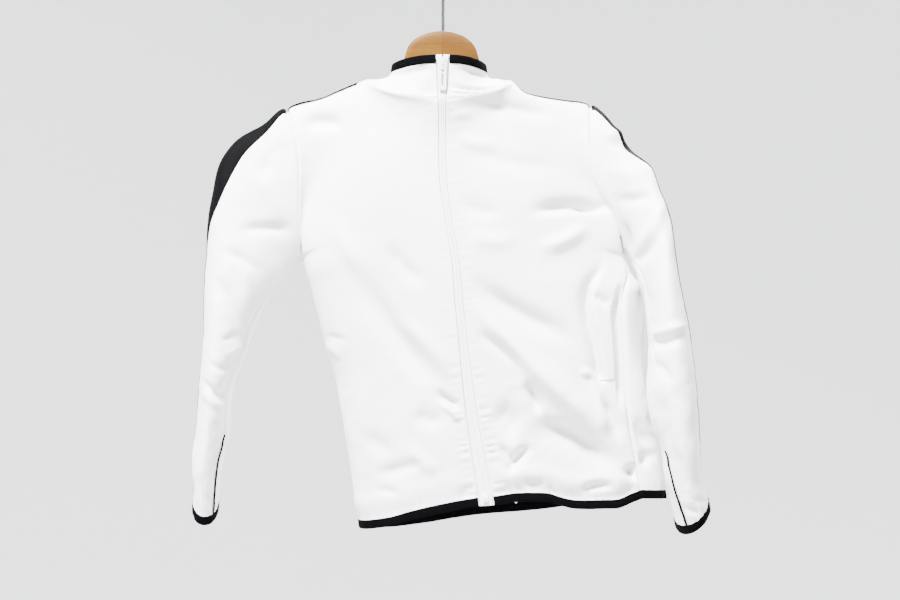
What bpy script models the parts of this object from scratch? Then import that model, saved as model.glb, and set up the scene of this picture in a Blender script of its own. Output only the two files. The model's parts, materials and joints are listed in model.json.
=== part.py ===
# Windbreaker on a wooden hanger: a child's light jacket with a full zip, stand collar,
# two-piece sleeves and dark bindings, hung up by the hanger's hook.
# Metres, +Z up. The origin is the inner top of the hook, where it sits on a rail.
# The front faces -Y, and +X is the wearer's left, on the right in a front view.
# The tables below are in millimetres, and MM turns them into metres.

import math

import bmesh
import bpy
import numpy as np
from mathutils import Matrix, Vector

MM = 0.001

# Cloth
CLOTH = 1.2                # wall of the shell fabric
SEAM = 0.4                 # gap between two sewn pieces
BINDING = 2.4              # folded binding
BINDING_WIDTH = 8.5
LAID_ON = 0.8              # a strip that is sewn on a panel
ROUNDNESS = 2.4            # 2 would be an ellipse
FLAT_ROUNDNESS = 3.4       # beside the armholes, where the panels meet the sleeves
ARMHOLE_DEPTH = 23.0       # half the gap between front and back edges of an armhole
SHOULDER_ROUND = 30.0      # how far below its seam a shoulder is still rounding over
NECK_ROUND = 70.0

# Rows and columns of the panels' grids
ROWS_BELOW = 15            # hem to armpit
ROWS_ARMHOLE = 9           # armpit to shoulder point
NECK_COLUMNS = 6           # zip to neck point
SHOULDER_COLUMNS = 8       # neck point to shoulder point
BACK_NECK_COLUMNS = 10
COLLAR_ROWS = 3

# Body sections: height, right and left side, depth of the front and of the back
BODY_ROWS = (
    # z, x_right, x_left, front, back
    (-650.0, -90.0, 250.0, 64.0, 56.0),
    (-620.0, -92.4, 247.0, 64.0, 56.0),
    (-580.0, -99.0, 243.0, 63.0, 55.0),
    (-543.0, -104.5, 237.0, 62.0, 54.0),
    (-505.0, -110.0, 229.0, 61.0, 53.0),
    (-465.0, -116.6, 224.0, 60.0, 52.0),
    (-425.0, -128.7, 225.0, 59.0, 51.0),
    (-395.0, -137.5, 224.0, 58.0, 50.0),
    (-378.0, -141.5, 221.0, 57.5, 49.5),
    (-360.0, -146.0, 216.0, 57.0, 49.0),
    (-345.0, -150.5, 205.5, 56.5, 48.5),
    (-335.0, -154.0, 199.5, 56.0, 48.0),
    (-305.0, -155.0, 193.6, 54.0, 46.0),
    (-278.0, -155.6, 184.8, 52.0, 44.0),
    (-256.0, -155.6, 173.0, 50.0, 42.0),
    (-232.0, -155.8, 164.5, 47.0, 39.0),
    (-212.0, -157.5, 161.5, 44.0, 36.0),
    (-190.0, -163.0, 161.0, 38.0, 32.0),
    (-168.0, -170.5, 161.5, 30.0, 26.0),
    (-120.0, -176.0, 161.5, 20.0, 20.0),
)

# Side seams: how far they have turned from the side towards the front, in degrees
SEAM_TURN = (
    # z, right, left
    (-640.0, -14.0, 37.0),
    (-540.0, -14.0, 37.0),
    (-460.0, -14.0, 35.0),
    (-395.0, -12.0, 36.0),
    (-360.0, -8.0, 27.0),
    (-331.0, 0.0, 0.0),
    (-120.0, 0.0, 0.0),
)

# The zip's line, and half of the width that its tapes show
ZIP_ROWS = (
    # z, x, half_width
    (-640.0, 53.0, 8.6),
    (-600.0, 47.4, 8.4),
    (-487.0, 29.2, 6.6),
    (-420.0, 21.6, 5.2),
    (-368.0, 16.3, 4.8),
    (-339.0, 14.1, 4.6),
    (-280.0, 4.5, 4.4),
    (-232.0, -0.6, 4.4),
    (-150.0, -1.0, 4.6),
    (-128.0, -0.5, 6.2),
    (-110.0, 0.5, 9.0),
)

# Hem heights, by the share of the way from the zip to the side seam
RIGHT_FRONT_HEM = (
    # share, z
    (0.0, -589.0),
    (0.13, -596.0),
    (0.29, -605.0),
    (0.44, -613.0),
    (0.7, -618.0),
    (1.0, -619.0),
)
LEFT_FRONT_HEM = (
    (0.0, -588.0),
    (0.08, -584.5),
    (0.23, -584.0),
    (0.3, -588.0),
    (0.44, -592.5),
    (0.72, -592.5),
    (0.87, -587.0),
    (1.0, -583.0),
)
# The back's hem, by the share of the way from the right side seam to the left
BACK_HEM = (
    (0.0, -619.0),
    (0.12, -622.5),
    (0.22, -619.0),
    (0.3, -612.5),
    (0.42, -604.0),
    (0.55, -593.0),
    (0.75, -588.0),
    (1.0, -583.0),
)

# Shoulder seams, from the neck point to the shoulder point
RIGHT_SHOULDER = (
    # share, x, z
    (0.0, -86.0, -135.0),
    (0.3, -112.0, -146.0),
    (0.6, -137.0, -156.5),
    (0.82, -158.0, -160.6),
    (1.0, -171.5, -167.0),
)
LEFT_SHOULDER = (
    (0.0, 76.0, -136.0),
    (0.15, 89.0, -149.0),
    (0.4, 110.0, -154.0),
    (0.7, 136.0, -158.0),
    (0.88, 152.0, -159.8),
    (1.0, 161.5, -163.0),
)
ARMPIT_RIGHT = -335.0
ARMPIT_LEFT = -328.0

# Neckline and collar
FRONT_NECK_Y = -50.0
FRONT_NECK_Z = -160.0
BACK_NECK_Y = 45.0
BACK_NECK_Z = -131.0
COLLAR_TOP_X = -4.5
COLLAR_TOP_HALF_WIDTH = 52.0
COLLAR_TOP_FRONT = 46.0
COLLAR_TOP_BACK = 42.0
COLLAR_TOP_Z = -121.0      # at the binding's seam, at the front
COLLAR_SIDE_DROP = 6.0

# Sleeves: each row is a ring between a point of the outer line and one of the inner line.
# y is the ring's middle, depth half of its size along Y, drop how much lower its front is
# than its middle, twist how far its grain has turned to the front, in degrees.
RIGHT_SLEEVE = (
    # outer_x, outer_z, inner_x, inner_z, y, depth, drop, twist
    (-177.0, -168.8, -156.2, -335.8, 0.0, 24.0, 0.0, 5.0),
    (-199.1, -185.6, -158.4, -341.0, -1.0, 26.0, 0.0, 14.0),
    (-227.7, -202.1, -165.0, -347.0, -2.0, 28.0, 0.0, 24.0),
    (-244.2, -227.4, -173.8, -354.0, -3.0, 31.0, 0.0, 27.0),
    (-251.9, -261.5, -183.7, -363.0, -4.0, 36.0, 0.0, 20.0),
    (-256.3, -291.2, -192.5, -377.0, -5.0, 41.0, 0.0, 8.0),
    (-258.5, -327.5, -201.3, -394.6, -6.0, 45.0, 0.0, -4.0),
    (-260.2, -366.0, -209.0, -415.5, -7.0, 48.0, 0.0, -8.0),
    (-260.7, -404.5, -217.8, -440.8, -8.0, 50.0, 0.0, -8.0),
    (-261.8, -437.5, -227.7, -461.7, -8.0, 51.0, 2.0, -10.0),
    (-266.2, -472.7, -231.6, -484.8, -8.0, 51.0, 4.0, -12.0),
    (-269.5, -512.3, -233.8, -520.0, -8.0, 50.0, 6.0, -14.0),
    (-272.3, -551.9, -242.0, -555.2, -9.0, 46.0, 9.0, -16.0),
    (-272.6, -594.0, -246.5, -602.0, -10.0, 37.0, 13.0, -18.0),
)
LEFT_SLEEVE = (
    (166.5, -165.0, 199.5, -329.0, 0.0, 24.0, 0.0, 3.0),
    (179.3, -175.7, 202.0, -331.9, -3.0, 26.0, 0.0, 6.0),
    (192.5, -194.4, 205.0, -335.6, -7.0, 28.0, 0.0, 5.0),
    (207.9, -215.3, 208.5, -341.0, -13.0, 31.0, 0.0, 0.0),
    (226.6, -234.0, 211.5, -348.6, -20.0, 34.0, 0.0, -4.0),
    (236.5, -262.6, 214.5, -358.3, -28.0, 38.0, 0.0, -4.0),
    (246.4, -291.2, 217.5, -371.5, -35.0, 42.0, 0.0, 2.0),
    (249.7, -325.3, 219.5, -385.8, -41.0, 45.0, 0.0, 6.0),
    (255.2, -360.5, 221.5, -404.5, -45.0, 47.0, 0.0, 0.0),
    (260.7, -394.6, 222.8, -426.5, -48.0, 48.0, 0.0, -6.0),
    (267.3, -434.2, 222.0, -448.5, -49.0, 49.0, 2.0, -8.0),
    (270.6, -471.6, 219.0, -475.5, -49.0, 49.0, 4.0, -8.0),
    (273.9, -502.0, 224.0, -505.0, -48.0, 49.0, 6.0, -8.0),
    (276.1, -531.0, 234.3, -533.5, -46.0, 48.0, 8.0, -12.0),
    (278.3, -562.0, 240.4, -569.0, -44.0, 44.0, 9.0, -24.0),
    (285.5, -591.5, 250.8, -615.0, -42.0, 36.0, 10.0, -42.0),
)
RING = 2 * ROWS_ARMHOLE    # points round a sleeve, the first at the shoulder point
FRONT_SEAM_AT = 8          # the ring's point on the sleeve's front seam
BACK_SEAM_AT = 12
BAND_HALF = 1              # the sleeve band reaches this many points to each side
PIPING_HALF_WIDTH = 1.2
PIPING_ROWS = 3            # rings above the cuff that the piping passes
SHOULDER_BAND_ROWS = 2

# Largest folds, each a straight trough (depth above 0) or ridge that fades to its ends
FRONT_FOLDS = (
    # x1, z1, x2, z2, width, depth
    (84.0, -431.0, 172.0, -527.0, 13.0, -5.5),    # long ridge towards the left hem
    (84.0, -470.0, 178.0, -556.0, 16.0, 6.0),
    (168.0, -285.0, 165.0, -410.0, 14.0, 5.5),    # beside the left pocket
    (30.0, -150.0, 108.0, -178.0, 11.0, 4.5),     # under the collar
    (118.0, -270.0, 188.0, -282.0, 12.0, 4.0),
    (98.0, -450.0, 52.0, -505.0, 14.0, 4.0),
    (-66.0, -400.0, -5.0, -480.0, 18.0, 4.5),
    (-140.0, -350.0, -75.0, -375.0, 14.0, 3.5),
    (-128.0, -250.0, -146.0, -320.0, 13.0, 3.5),
    (-80.0, -560.0, -20.0, -585.0, 14.0, 3.5),
)
BACK_FOLDS = (
    (-125.0, -215.0, -30.0, -420.0, 18.0, 5.0),
    (128.0, -215.0, 60.0, -400.0, 18.0, 5.0),
    (-30.0, -170.0, -10.0, -330.0, 16.0, -4.0),
    (-60.0, -440.0, 40.0, -585.0, 20.0, 5.5),
    (110.0, -420.0, 170.0, -570.0, 18.0, 5.0),
    (180.0, -330.0, 150.0, -480.0, 14.0, 4.0),
)

# Pockets: how far below the armpit the welt begins, and its length
# Columns and rows of the front's grid that each side's pocket welt lies on
WELT_ACROSS = {-1: (12.12, 12.92), 1: (10, 11, 12)}
WELT_ROWS = {-1: (7, 8, 9, 10, 11), 1: (7.25, 8, 9, 10, 11, 11.6)}

# Zip
TAPE = 0.8
COIL_THICKNESS = 1.6
COIL_WIDTH = 2.4
LIE = 0.3                  # gap between a piece and what it lies on
ZIP_OPEN_Z = -123.0        # above this the tapes part round the slider's bridge
ZIP_OPEN_HALF_GAP = 1.1
SLIDER_Z = -122.5
SLIDER_WIDTH = 9.0
SLIDER_HEIGHT = 14.5
SLIDER_PLATE = 1.2
BRIDGE_WIDTH = 1.4
BRIDGE_HEIGHT = 4.5
TAB_WIDTH = 8.0
TAB_LENGTH = 24.5
TAB_THICKNESS = 1.4
TAB_BAR = 1.3              # the bar at the tab's top, which the slider's loop holds
TAB_EYE_WIDTH = 3.4
TAB_EYE_HEIGHT = 3.2
TAB_SLOT_WIDTH = 2.2
TAB_SLOT_LENGTH = 12.5
LOOP_WIDTH = 2.2
LOOP_WIRE = 1.0
HINGE_DROP = 5.0           # hinge below the slider's middle

# Hanger
HOOK_WIRE = 3.6
HOOK_RADIUS = 20.0
STEM_END_Z = -80.95
WOOD_TOP = (
    # distance from the middle, height of the upper edge, height of the section, thickness
    (0.0, -81.0, 44.0, 13.0),
    (9.0, -82.0, 44.0, 13.0),
    (20.0, -85.0, 43.0, 13.0),
    (30.0, -90.5, 41.0, 13.0),
    (37.0, -99.0, 37.0, 13.0),
    (41.5, -113.0, 32.0, 13.0),
    (45.5, -127.0, 25.0, 13.0),
    (57.0, -137.5, 24.0, 13.0),
    (72.0, -148.0, 22.0, 13.0),
    (90.0, -156.0, 22.0, 12.0),
    (112.0, -159.2, 24.0, 11.5),
    (132.0, -161.0, 25.0, 11.5),
    (142.0, -162.4, 24.0, 11.0),
    (147.0, -165.0, 18.0, 8.0),
)
HANGER_MIDDLE_X = -1.6


def clear_scene():
    for obj in list(bpy.data.objects):
        bpy.data.objects.remove(obj, do_unlink=True)


def material(name, colour, roughness, metallic=0.0):
    found = bpy.data.materials.get(name)
    if found:
        return found
    made = bpy.data.materials.new(name)
    made.use_nodes = True
    shader = made.node_tree.nodes["Principled BSDF"]
    shader.inputs["Base Color"].default_value = (*colour, 1.0)
    shader.inputs["Roughness"].default_value = roughness
    shader.inputs["Metallic"].default_value = metallic
    made.diffuse_color = (*colour, 1.0)
    return made


def white_cloth():
    return material("white_cloth", (0.86, 0.86, 0.87), 0.55)


def black_binding():
    return material("black_binding", (0.012, 0.014, 0.022), 0.7)


def white_metal():
    return material("white_enamel", (0.82, 0.82, 0.82), 0.35)


def wood():
    return material("pale_wood", (0.56, 0.36, 0.19), 0.5)


def steel():
    return material("steel_wire", (0.6, 0.6, 0.6), 0.25, 1.0)


def table_value(rows, column, at):
    """A column's value between the rows of a table, on a smooth curve with no overshoot."""
    xs = np.array([row[0] for row in rows])
    ys = np.array([row[column] for row in rows])
    if at <= xs[0]:
        return float(ys[0])
    if at >= xs[-1]:
        return float(ys[-1])
    steps = np.diff(xs)
    rises = np.diff(ys) / steps
    slopes = np.zeros(len(xs))
    for i in range(1, len(xs) - 1):
        if rises[i - 1] * rises[i] > 0:
            slopes[i] = 2 * rises[i - 1] * rises[i] / (rises[i - 1] + rises[i])
    slopes[0] = rises[0]
    slopes[-1] = rises[-1]
    i = int(np.searchsorted(xs, at, side="right")) - 1
    t = (at - xs[i]) / steps[i]
    start = ys[i] * (1 + 2 * t) * (1 - t) ** 2 + steps[i] * slopes[i] * t * (1 - t) ** 2
    end = ys[i + 1] * t * t * (3 - 2 * t) + steps[i] * slopes[i + 1] * t * t * (t - 1)
    return float(start + end)


def smooth_step(t):
    t = min(max(t, 0.0), 1.0)
    return t * t * (3 - 2 * t)


def unit(vectors):
    return vectors / np.maximum(np.linalg.norm(vectors, axis=-1, keepdims=True), 1e-9)


def section(theta, z):
    """The body's mid-surface at a height: theta 0 is its left side, 90 the front."""
    right, left, front, back = (table_value(BODY_ROWS, c, z) for c in (1, 2, 3, 4))
    turn = math.radians(theta)
    across = math.cos(turn)
    deep = math.sin(turn)
    x = (left + right) / 2
    x += (left - right) / 2 * math.copysign(abs(across) ** (2 / ROUNDNESS), across)
    depth = front if deep > 0 else back
    round_share = abs(deep) ** (2 / ROUNDNESS)
    flat_share = 1 - abs(across) ** FLAT_ROUNDNESS
    armhole = smooth_step((z + 325.0) / 70.0)
    share = round_share + (flat_share - round_share) * armhole
    return x, depth, share, math.copysign(1.0, deep)


def theta_at(x, z):
    """The turn at which the front of the section has this x."""
    right = table_value(BODY_ROWS, 1, z)
    left = table_value(BODY_ROWS, 2, z)
    across = (x - (left + right) / 2) / ((left - right) / 2)
    across = min(max(across, -1.0), 1.0)
    return math.degrees(math.acos(math.copysign(abs(across) ** (ROUNDNESS / 2), across)))


def zip_edge(side, z):
    """x of the panel's edge at the zip; side is -1 for the wearer's right, 1 for the left."""
    return table_value(ZIP_ROWS, 1, z) + side * table_value(ZIP_ROWS, 2, z)


def seam_theta(side, z):
    turn = table_value(SEAM_TURN, 1 if side < 0 else 2, z)
    return 180.0 - turn if side < 0 else turn


def shoulder_rows(side):
    return RIGHT_SHOULDER if side < 0 else LEFT_SHOULDER


def armpit(side):
    return ARMPIT_RIGHT if side < 0 else ARMPIT_LEFT


def shoulder_tip(side):
    return shoulder_rows(side)[-1][2]


def armhole_shares():
    """Heights of the rows between armpit and shoulder point, closer together at both."""
    return [(1 - math.cos(math.pi * j / ROWS_ARMHOLE)) / 2 for j in range(ROWS_ARMHOLE + 1)]


def row_levels(side, hem):
    """Shares of the way from hem to top edge, one for each row of a panel's grid."""
    split = (armpit(side) - hem) / (shoulder_tip(side) - hem)
    below = [split * j / ROWS_BELOW for j in range(ROWS_BELOW)]
    return below + [split + (1 - split) * share for share in armhole_shares()]


def fold_depth(folds, x, z):
    total = 0.0
    for x1, z1, x2, z2, width, depth in folds:
        length = math.hypot(x2 - x1, z2 - z1)
        along = ((x - x1) * (x2 - x1) + (z - z1) * (z2 - z1)) / length
        aside = ((x - x1) * (z2 - z1) - (z - z1) * (x2 - x1)) / length
        end = smooth_step(along / (0.35 * length)) * smooth_step((length - along) / (0.35 * length))
        total += depth * end * math.exp(-((aside / width) ** 2))
    return total


def top_edge(side, column):
    """Front top edge: the neckline up to the neck point, then the shoulder seam."""
    _, neck_x, neck_z = shoulder_rows(side)[0]
    if column <= NECK_COLUMNS:
        turn = math.pi / 2 * column / NECK_COLUMNS
        start = zip_edge(side, FRONT_NECK_Z)
        x = start + (neck_x - start) * math.sin(turn)
        y = FRONT_NECK_Y * math.cos(turn)
        z = neck_z + (FRONT_NECK_Z - neck_z) * math.cos(turn) ** 1.3
        return x, y, z
    share = (column - NECK_COLUMNS) / SHOULDER_COLUMNS
    x = table_value(shoulder_rows(side), 1, share)
    z = table_value(shoulder_rows(side), 2, share)
    return x, 0.0, z


def back_top_edge(column):
    """Back top edge from the right shoulder point to the left."""
    if column < SHOULDER_COLUMNS:
        return top_edge(-1, NECK_COLUMNS + SHOULDER_COLUMNS - column)
    column -= SHOULDER_COLUMNS
    if column > BACK_NECK_COLUMNS:
        return top_edge(1, NECK_COLUMNS + column - BACK_NECK_COLUMNS)
    turn = math.pi * column / BACK_NECK_COLUMNS
    right_x, right_z = RIGHT_SHOULDER[0][1:]
    left_x, left_z = LEFT_SHOULDER[0][1:]
    share = (1 - math.cos(turn)) / 2
    x = right_x + (left_x - right_x) * share
    y = BACK_NECK_Y * math.sin(turn)
    side_z = right_z + (left_z - right_z) * share
    z = side_z + (BACK_NECK_Z - side_z) * math.sin(turn)
    return x, y, z


def panel_point(theta, level, hem_z, top, correction_x, neck_share, folds):
    """A panel's point at a share of the way from its hem to its top edge."""
    top_x, top_y, top_z = top
    z = hem_z + (top_z - hem_z) * level
    x, depth, share, facing = section(theta, z)
    x += correction_x * smooth_step((level - 0.7) / 0.3)
    drop = top_z - z
    down = min(max(drop / SHOULDER_ROUND, 0.0), 1.0)
    shoulder = math.sqrt(1 - (1 - down) ** 2)
    neck = smooth_step(drop / NECK_ROUND)
    rounding = neck_share * neck + (1 - neck_share) * shoulder
    inward = fold_depth(folds, x, z) * smooth_step(drop / 25.0) * share
    y = -facing * (depth * share - inward)
    return x, top_y + (y - top_y) * rounding, z, share, facing


def front_grid(side):
    """Grid of points, a column for each station from the zip to the side, rows from hem up."""
    columns = NECK_COLUMNS + SHOULDER_COLUMNS
    hem = RIGHT_FRONT_HEM if side < 0 else LEFT_FRONT_HEM
    grid = np.zeros((columns + 1, ROWS_BELOW + ROWS_ARMHOLE + 1, 3))
    seam_levels = row_levels(side, hem[-1][1])
    for i in range(columns + 1):
        part = i / columns
        share = part ** 0.9
        top = top_edge(side, i)
        hem_z = table_value(hem, 1, share)
        for j, level in enumerate(seam_levels):
            z = hem_z + (top[2] - hem_z) * level
            start = theta_at(zip_edge(side, z), z)
            theta = start + (seam_theta(side, z) - start) * share
            top_start = theta_at(zip_edge(side, top[2]), top[2])
            top_theta = top_start + (seam_theta(side, top[2]) - top_start) * share
            correction = top[0] - section(top_theta, top[2])[0]
            neck_share = max(0.0, 1 - i / NECK_COLUMNS)
            x, y, z, _, _ = panel_point(
                theta, level, hem_z, top, correction, neck_share, FRONT_FOLDS
            )
            if i == 0:
                x = zip_edge(side, z)
            grid[i, j] = (x, y, z)
    open_armhole(grid[:, ROWS_BELOW:], -1.0)
    return grid


def back_grid():
    columns = 2 * SHOULDER_COLUMNS + BACK_NECK_COLUMNS
    grid = np.zeros((columns + 1, ROWS_BELOW + ROWS_ARMHOLE + 1, 3))
    right_levels = row_levels(-1, BACK_HEM[0][1])
    left_levels = row_levels(1, BACK_HEM[-1][1])
    for i in range(columns + 1):
        share = i / columns
        top = back_top_edge(i)
        hem_z = table_value(BACK_HEM, 1, share)
        past_neck = min(abs(i - SHOULDER_COLUMNS - BACK_NECK_COLUMNS / 2), BACK_NECK_COLUMNS / 2)
        neck_share = 1 - past_neck / (BACK_NECK_COLUMNS / 2)
        for j in range(len(right_levels)):
            level = right_levels[j] + (left_levels[j] - right_levels[j]) * share
            z = hem_z + (top[2] - hem_z) * level
            start = seam_theta(-1, z)
            theta = start + (seam_theta(1, z) + 360.0 - start) * share
            correction = top[0] - section(180.0 + 180.0 * share, top[2])[0]
            point = panel_point(theta, level, hem_z, top, correction, neck_share, BACK_FOLDS)
            grid[i, j] = point[:3]
    open_armhole(grid[:, ROWS_BELOW:], 1.0)
    open_armhole(grid[::-1, ROWS_BELOW:], 1.0)
    return grid


def open_armhole(rows, direction):
    """Moves the armhole edge, the last column here, off the other panel's, and fades inwards."""
    last = rows.shape[0] - 1
    reach = SHOULDER_COLUMNS
    for j, share in enumerate(armhole_shares()):
        gap = ARMHOLE_DEPTH * math.sqrt(max(0.0, 1 - (2 * share - 1) ** 2))
        for i in range(last - reach, last + 1):
            fade = 1 - (last - i) / reach
            edge = direction * gap * fade ** 2
            y = rows[i, j, 1]
            rows[i, j, 1] = direction * max(direction * y, 0.0) * (1 - fade ** 2 * 0.5) + edge


def armhole_ring(front, back_edge):
    """Points round an armhole in the order of a sleeve's ring, from the grids' edges."""
    ring = [(front[-1] + back_edge[-1]) / 2]
    for i in range(1, ROWS_ARMHOLE):
        ring.append(front[ROWS_ARMHOLE - i])
    ring.append((front[0] + back_edge[0]) / 2)
    for i in range(1, ROWS_ARMHOLE):
        ring.append(back_edge[i])
    return np.array(ring)


def sleeve_ring(row):
    outer_x, outer_z, inner_x, inner_z, y, depth, drop, twist = row
    centre = np.array([(outer_x + inner_x) / 2, y, (outer_z + inner_z) / 2])
    outward = np.array([(outer_x - inner_x) / 2, 0.0, (outer_z - inner_z) / 2])
    forward = np.array([0.0, -depth, -drop])
    points = []
    for i in range(RING):
        turn = math.radians(360.0 * i / RING + twist)
        points.append(centre + outward * math.cos(turn) + forward * math.sin(turn))
    return np.array(points)


def sleeve_grid(side, front, back_edge):
    """Rings of a sleeve from the armhole to the cuff."""
    start = armhole_ring(front, back_edge)
    start[:, 0] += side * SEAM
    rings = [start] + [sleeve_ring(row) for row in (RIGHT_SLEEVE if side < 0 else LEFT_SLEEVE)]
    for k, kept in ((1, 0.65), (2, 0.35), (3, 0.15)):
        moved = start + rings[k].mean(axis=0) - start.mean(axis=0)
        rings[k] = rings[k] * (1 - kept) + moved * kept
    return np.array(rings)


def grid_normals(points, outward_from, ring=False):
    """Unit normals of a grid, turned away from a point (or from each ring's middle)."""
    if ring:
        around = np.roll(points, -1, axis=1) - np.roll(points, 1, axis=1)
        along = np.gradient(points, axis=0)
        reference = points.mean(axis=1, keepdims=True)
    else:
        around = np.gradient(points, axis=1)
        along = np.gradient(points, axis=0)
        reference = np.array(outward_from)
    normals = unit(np.cross(along, around))
    flip = np.sum(normals * (points - reference), axis=-1, keepdims=True).mean() < 0
    return -normals if flip else normals


def share_normals(one, one_at, other, other_at):
    """Gives two pieces the same wall direction along their seam."""
    both = unit(one[one_at] + other[other_at])
    one[one_at] = both
    other[other_at] = both


def pull_back(points, gap):
    """Moves the first and last lines of a grid's first axis inwards, for a seam's gap."""
    first = unit(points[1] - points[0])
    last = unit(points[-2] - points[-1])
    points[0] += first * gap
    points[-1] += last * gap


def new_object(name, bm, finish):
    bmesh.ops.recalc_face_normals(bm, faces=bm.faces)
    mesh = bpy.data.meshes.new(name)
    bm.to_mesh(mesh)
    bm.free()
    mesh.materials.append(finish)
    mesh.shade_smooth()
    mesh.set_sharp_from_angle(angle=math.radians(40))
    obj = bpy.data.objects.new(name, mesh)
    JACKET.objects.link(obj)
    return obj


def wall(name, points, normals, thickness, finish, closed=False):
    """A closed wall on a grid of its middle points, which may run round along its first axis."""
    bm = bmesh.new()
    count_i, count_j = points.shape[:2]
    sides = []
    for offset in (thickness / 2, -thickness / 2):
        surface = (points + normals * offset) * MM
        sides.append([[bm.verts.new(surface[i, j]) for j in range(count_j)] for i in range(count_i)])
    outer, inner = sides
    last_i = count_i if closed else count_i - 1
    for i in range(last_i):
        k = (i + 1) % count_i
        for j in range(count_j - 1):
            bm.faces.new((outer[i][j], outer[k][j], outer[k][j + 1], outer[i][j + 1]))
            bm.faces.new((inner[i][j], inner[i][j + 1], inner[k][j + 1], inner[k][j]))
        for j in (0, count_j - 1):
            bm.faces.new((outer[i][j], outer[k][j], inner[k][j], inner[i][j]))
    if not closed:
        for i in (0, count_i - 1):
            for j in range(count_j - 1):
                bm.faces.new((outer[i][j], outer[i][j + 1], inner[i][j + 1], inner[i][j]))
    return new_object(name, bm, finish)


def loft(name, rings, finish):
    """A closed body through rings of equal counts, with a face at each end."""
    bm = bmesh.new()
    rows = [[bm.verts.new(Vector(point) * MM) for point in ring] for ring in rings]
    count = len(rows[0])
    for lower, upper in zip(rows, rows[1:]):
        for i in range(count):
            k = (i + 1) % count
            bm.faces.new((lower[i], lower[k], upper[k], upper[i]))
    bm.faces.new(rows[0])
    bm.faces.new(rows[-1])
    return new_object(name, bm, finish)


def laid_strip(name, points, normals, lift, thickness, finish):
    """A strip over a panel, made from the panel's points and moved out."""
    return wall(name, points + normals * (lift + thickness / 2), normals, thickness, finish)


def edge_strip(name, edge, direction, normals, width, thickness, finish, closed=False):
    """A binding that carries on from an edge by its width."""
    points = np.stack([edge + direction * SEAM, edge + direction * width], axis=1)
    return wall(name, points, np.stack([normals, normals], axis=1), thickness, finish, closed)


def collar_grid(fronts, back):
    """Collar from the neckline up, a column for each station from zip to zip."""
    right = fronts[-1][: NECK_COLUMNS + 1, -1]
    left = fronts[1][: NECK_COLUMNS + 1, -1]
    middle = back[SHOULDER_COLUMNS + 1 : SHOULDER_COLUMNS + BACK_NECK_COLUMNS, -1]
    back_right = back[SHOULDER_COLUMNS, -1]
    back_left = back[SHOULDER_COLUMNS + BACK_NECK_COLUMNS, -1]
    right_point = (right[-1] + back_right) / 2
    left_point = (left[-1] + back_left) / 2
    base = np.vstack([right[:-1], right_point[None], middle, left_point[None], left[-2::-1]])
    count = len(base)
    grid = np.zeros((count, COLLAR_ROWS + 1, 3))
    for i in range(count):
        if i <= NECK_COLUMNS:
            turn = math.pi / 2 * i / NECK_COLUMNS
            side = -1
        elif i >= NECK_COLUMNS + BACK_NECK_COLUMNS:
            turn = math.pi / 2 * (count - 1 - i) / NECK_COLUMNS
            side = 1
        else:
            turn = math.pi / 2 + math.pi * (i - NECK_COLUMNS) / BACK_NECK_COLUMNS
            side = -1
        start = zip_edge(side, COLLAR_TOP_Z) if math.cos(turn) >= 0 else COLLAR_TOP_X
        x = start + (COLLAR_TOP_X + side * COLLAR_TOP_HALF_WIDTH - start) * math.sin(turn)
        depth = COLLAR_TOP_FRONT if math.cos(turn) > 0 else COLLAR_TOP_BACK
        top = np.array([x, -depth * math.cos(turn), COLLAR_TOP_Z - COLLAR_SIDE_DROP * math.sin(turn) ** 2])
        foot = base[i] + np.array([0.0, 0.0, SEAM])
        for j in range(COLLAR_ROWS + 1):
            part = j / COLLAR_ROWS
            flare = math.sin(math.pi / 2 * part)
            rise = part + (1 - math.cos(math.pi / 2 * part) - part) * 0.6
            grid[i, j] = foot + (top - foot) * (flare, flare, rise)
    return grid


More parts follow.
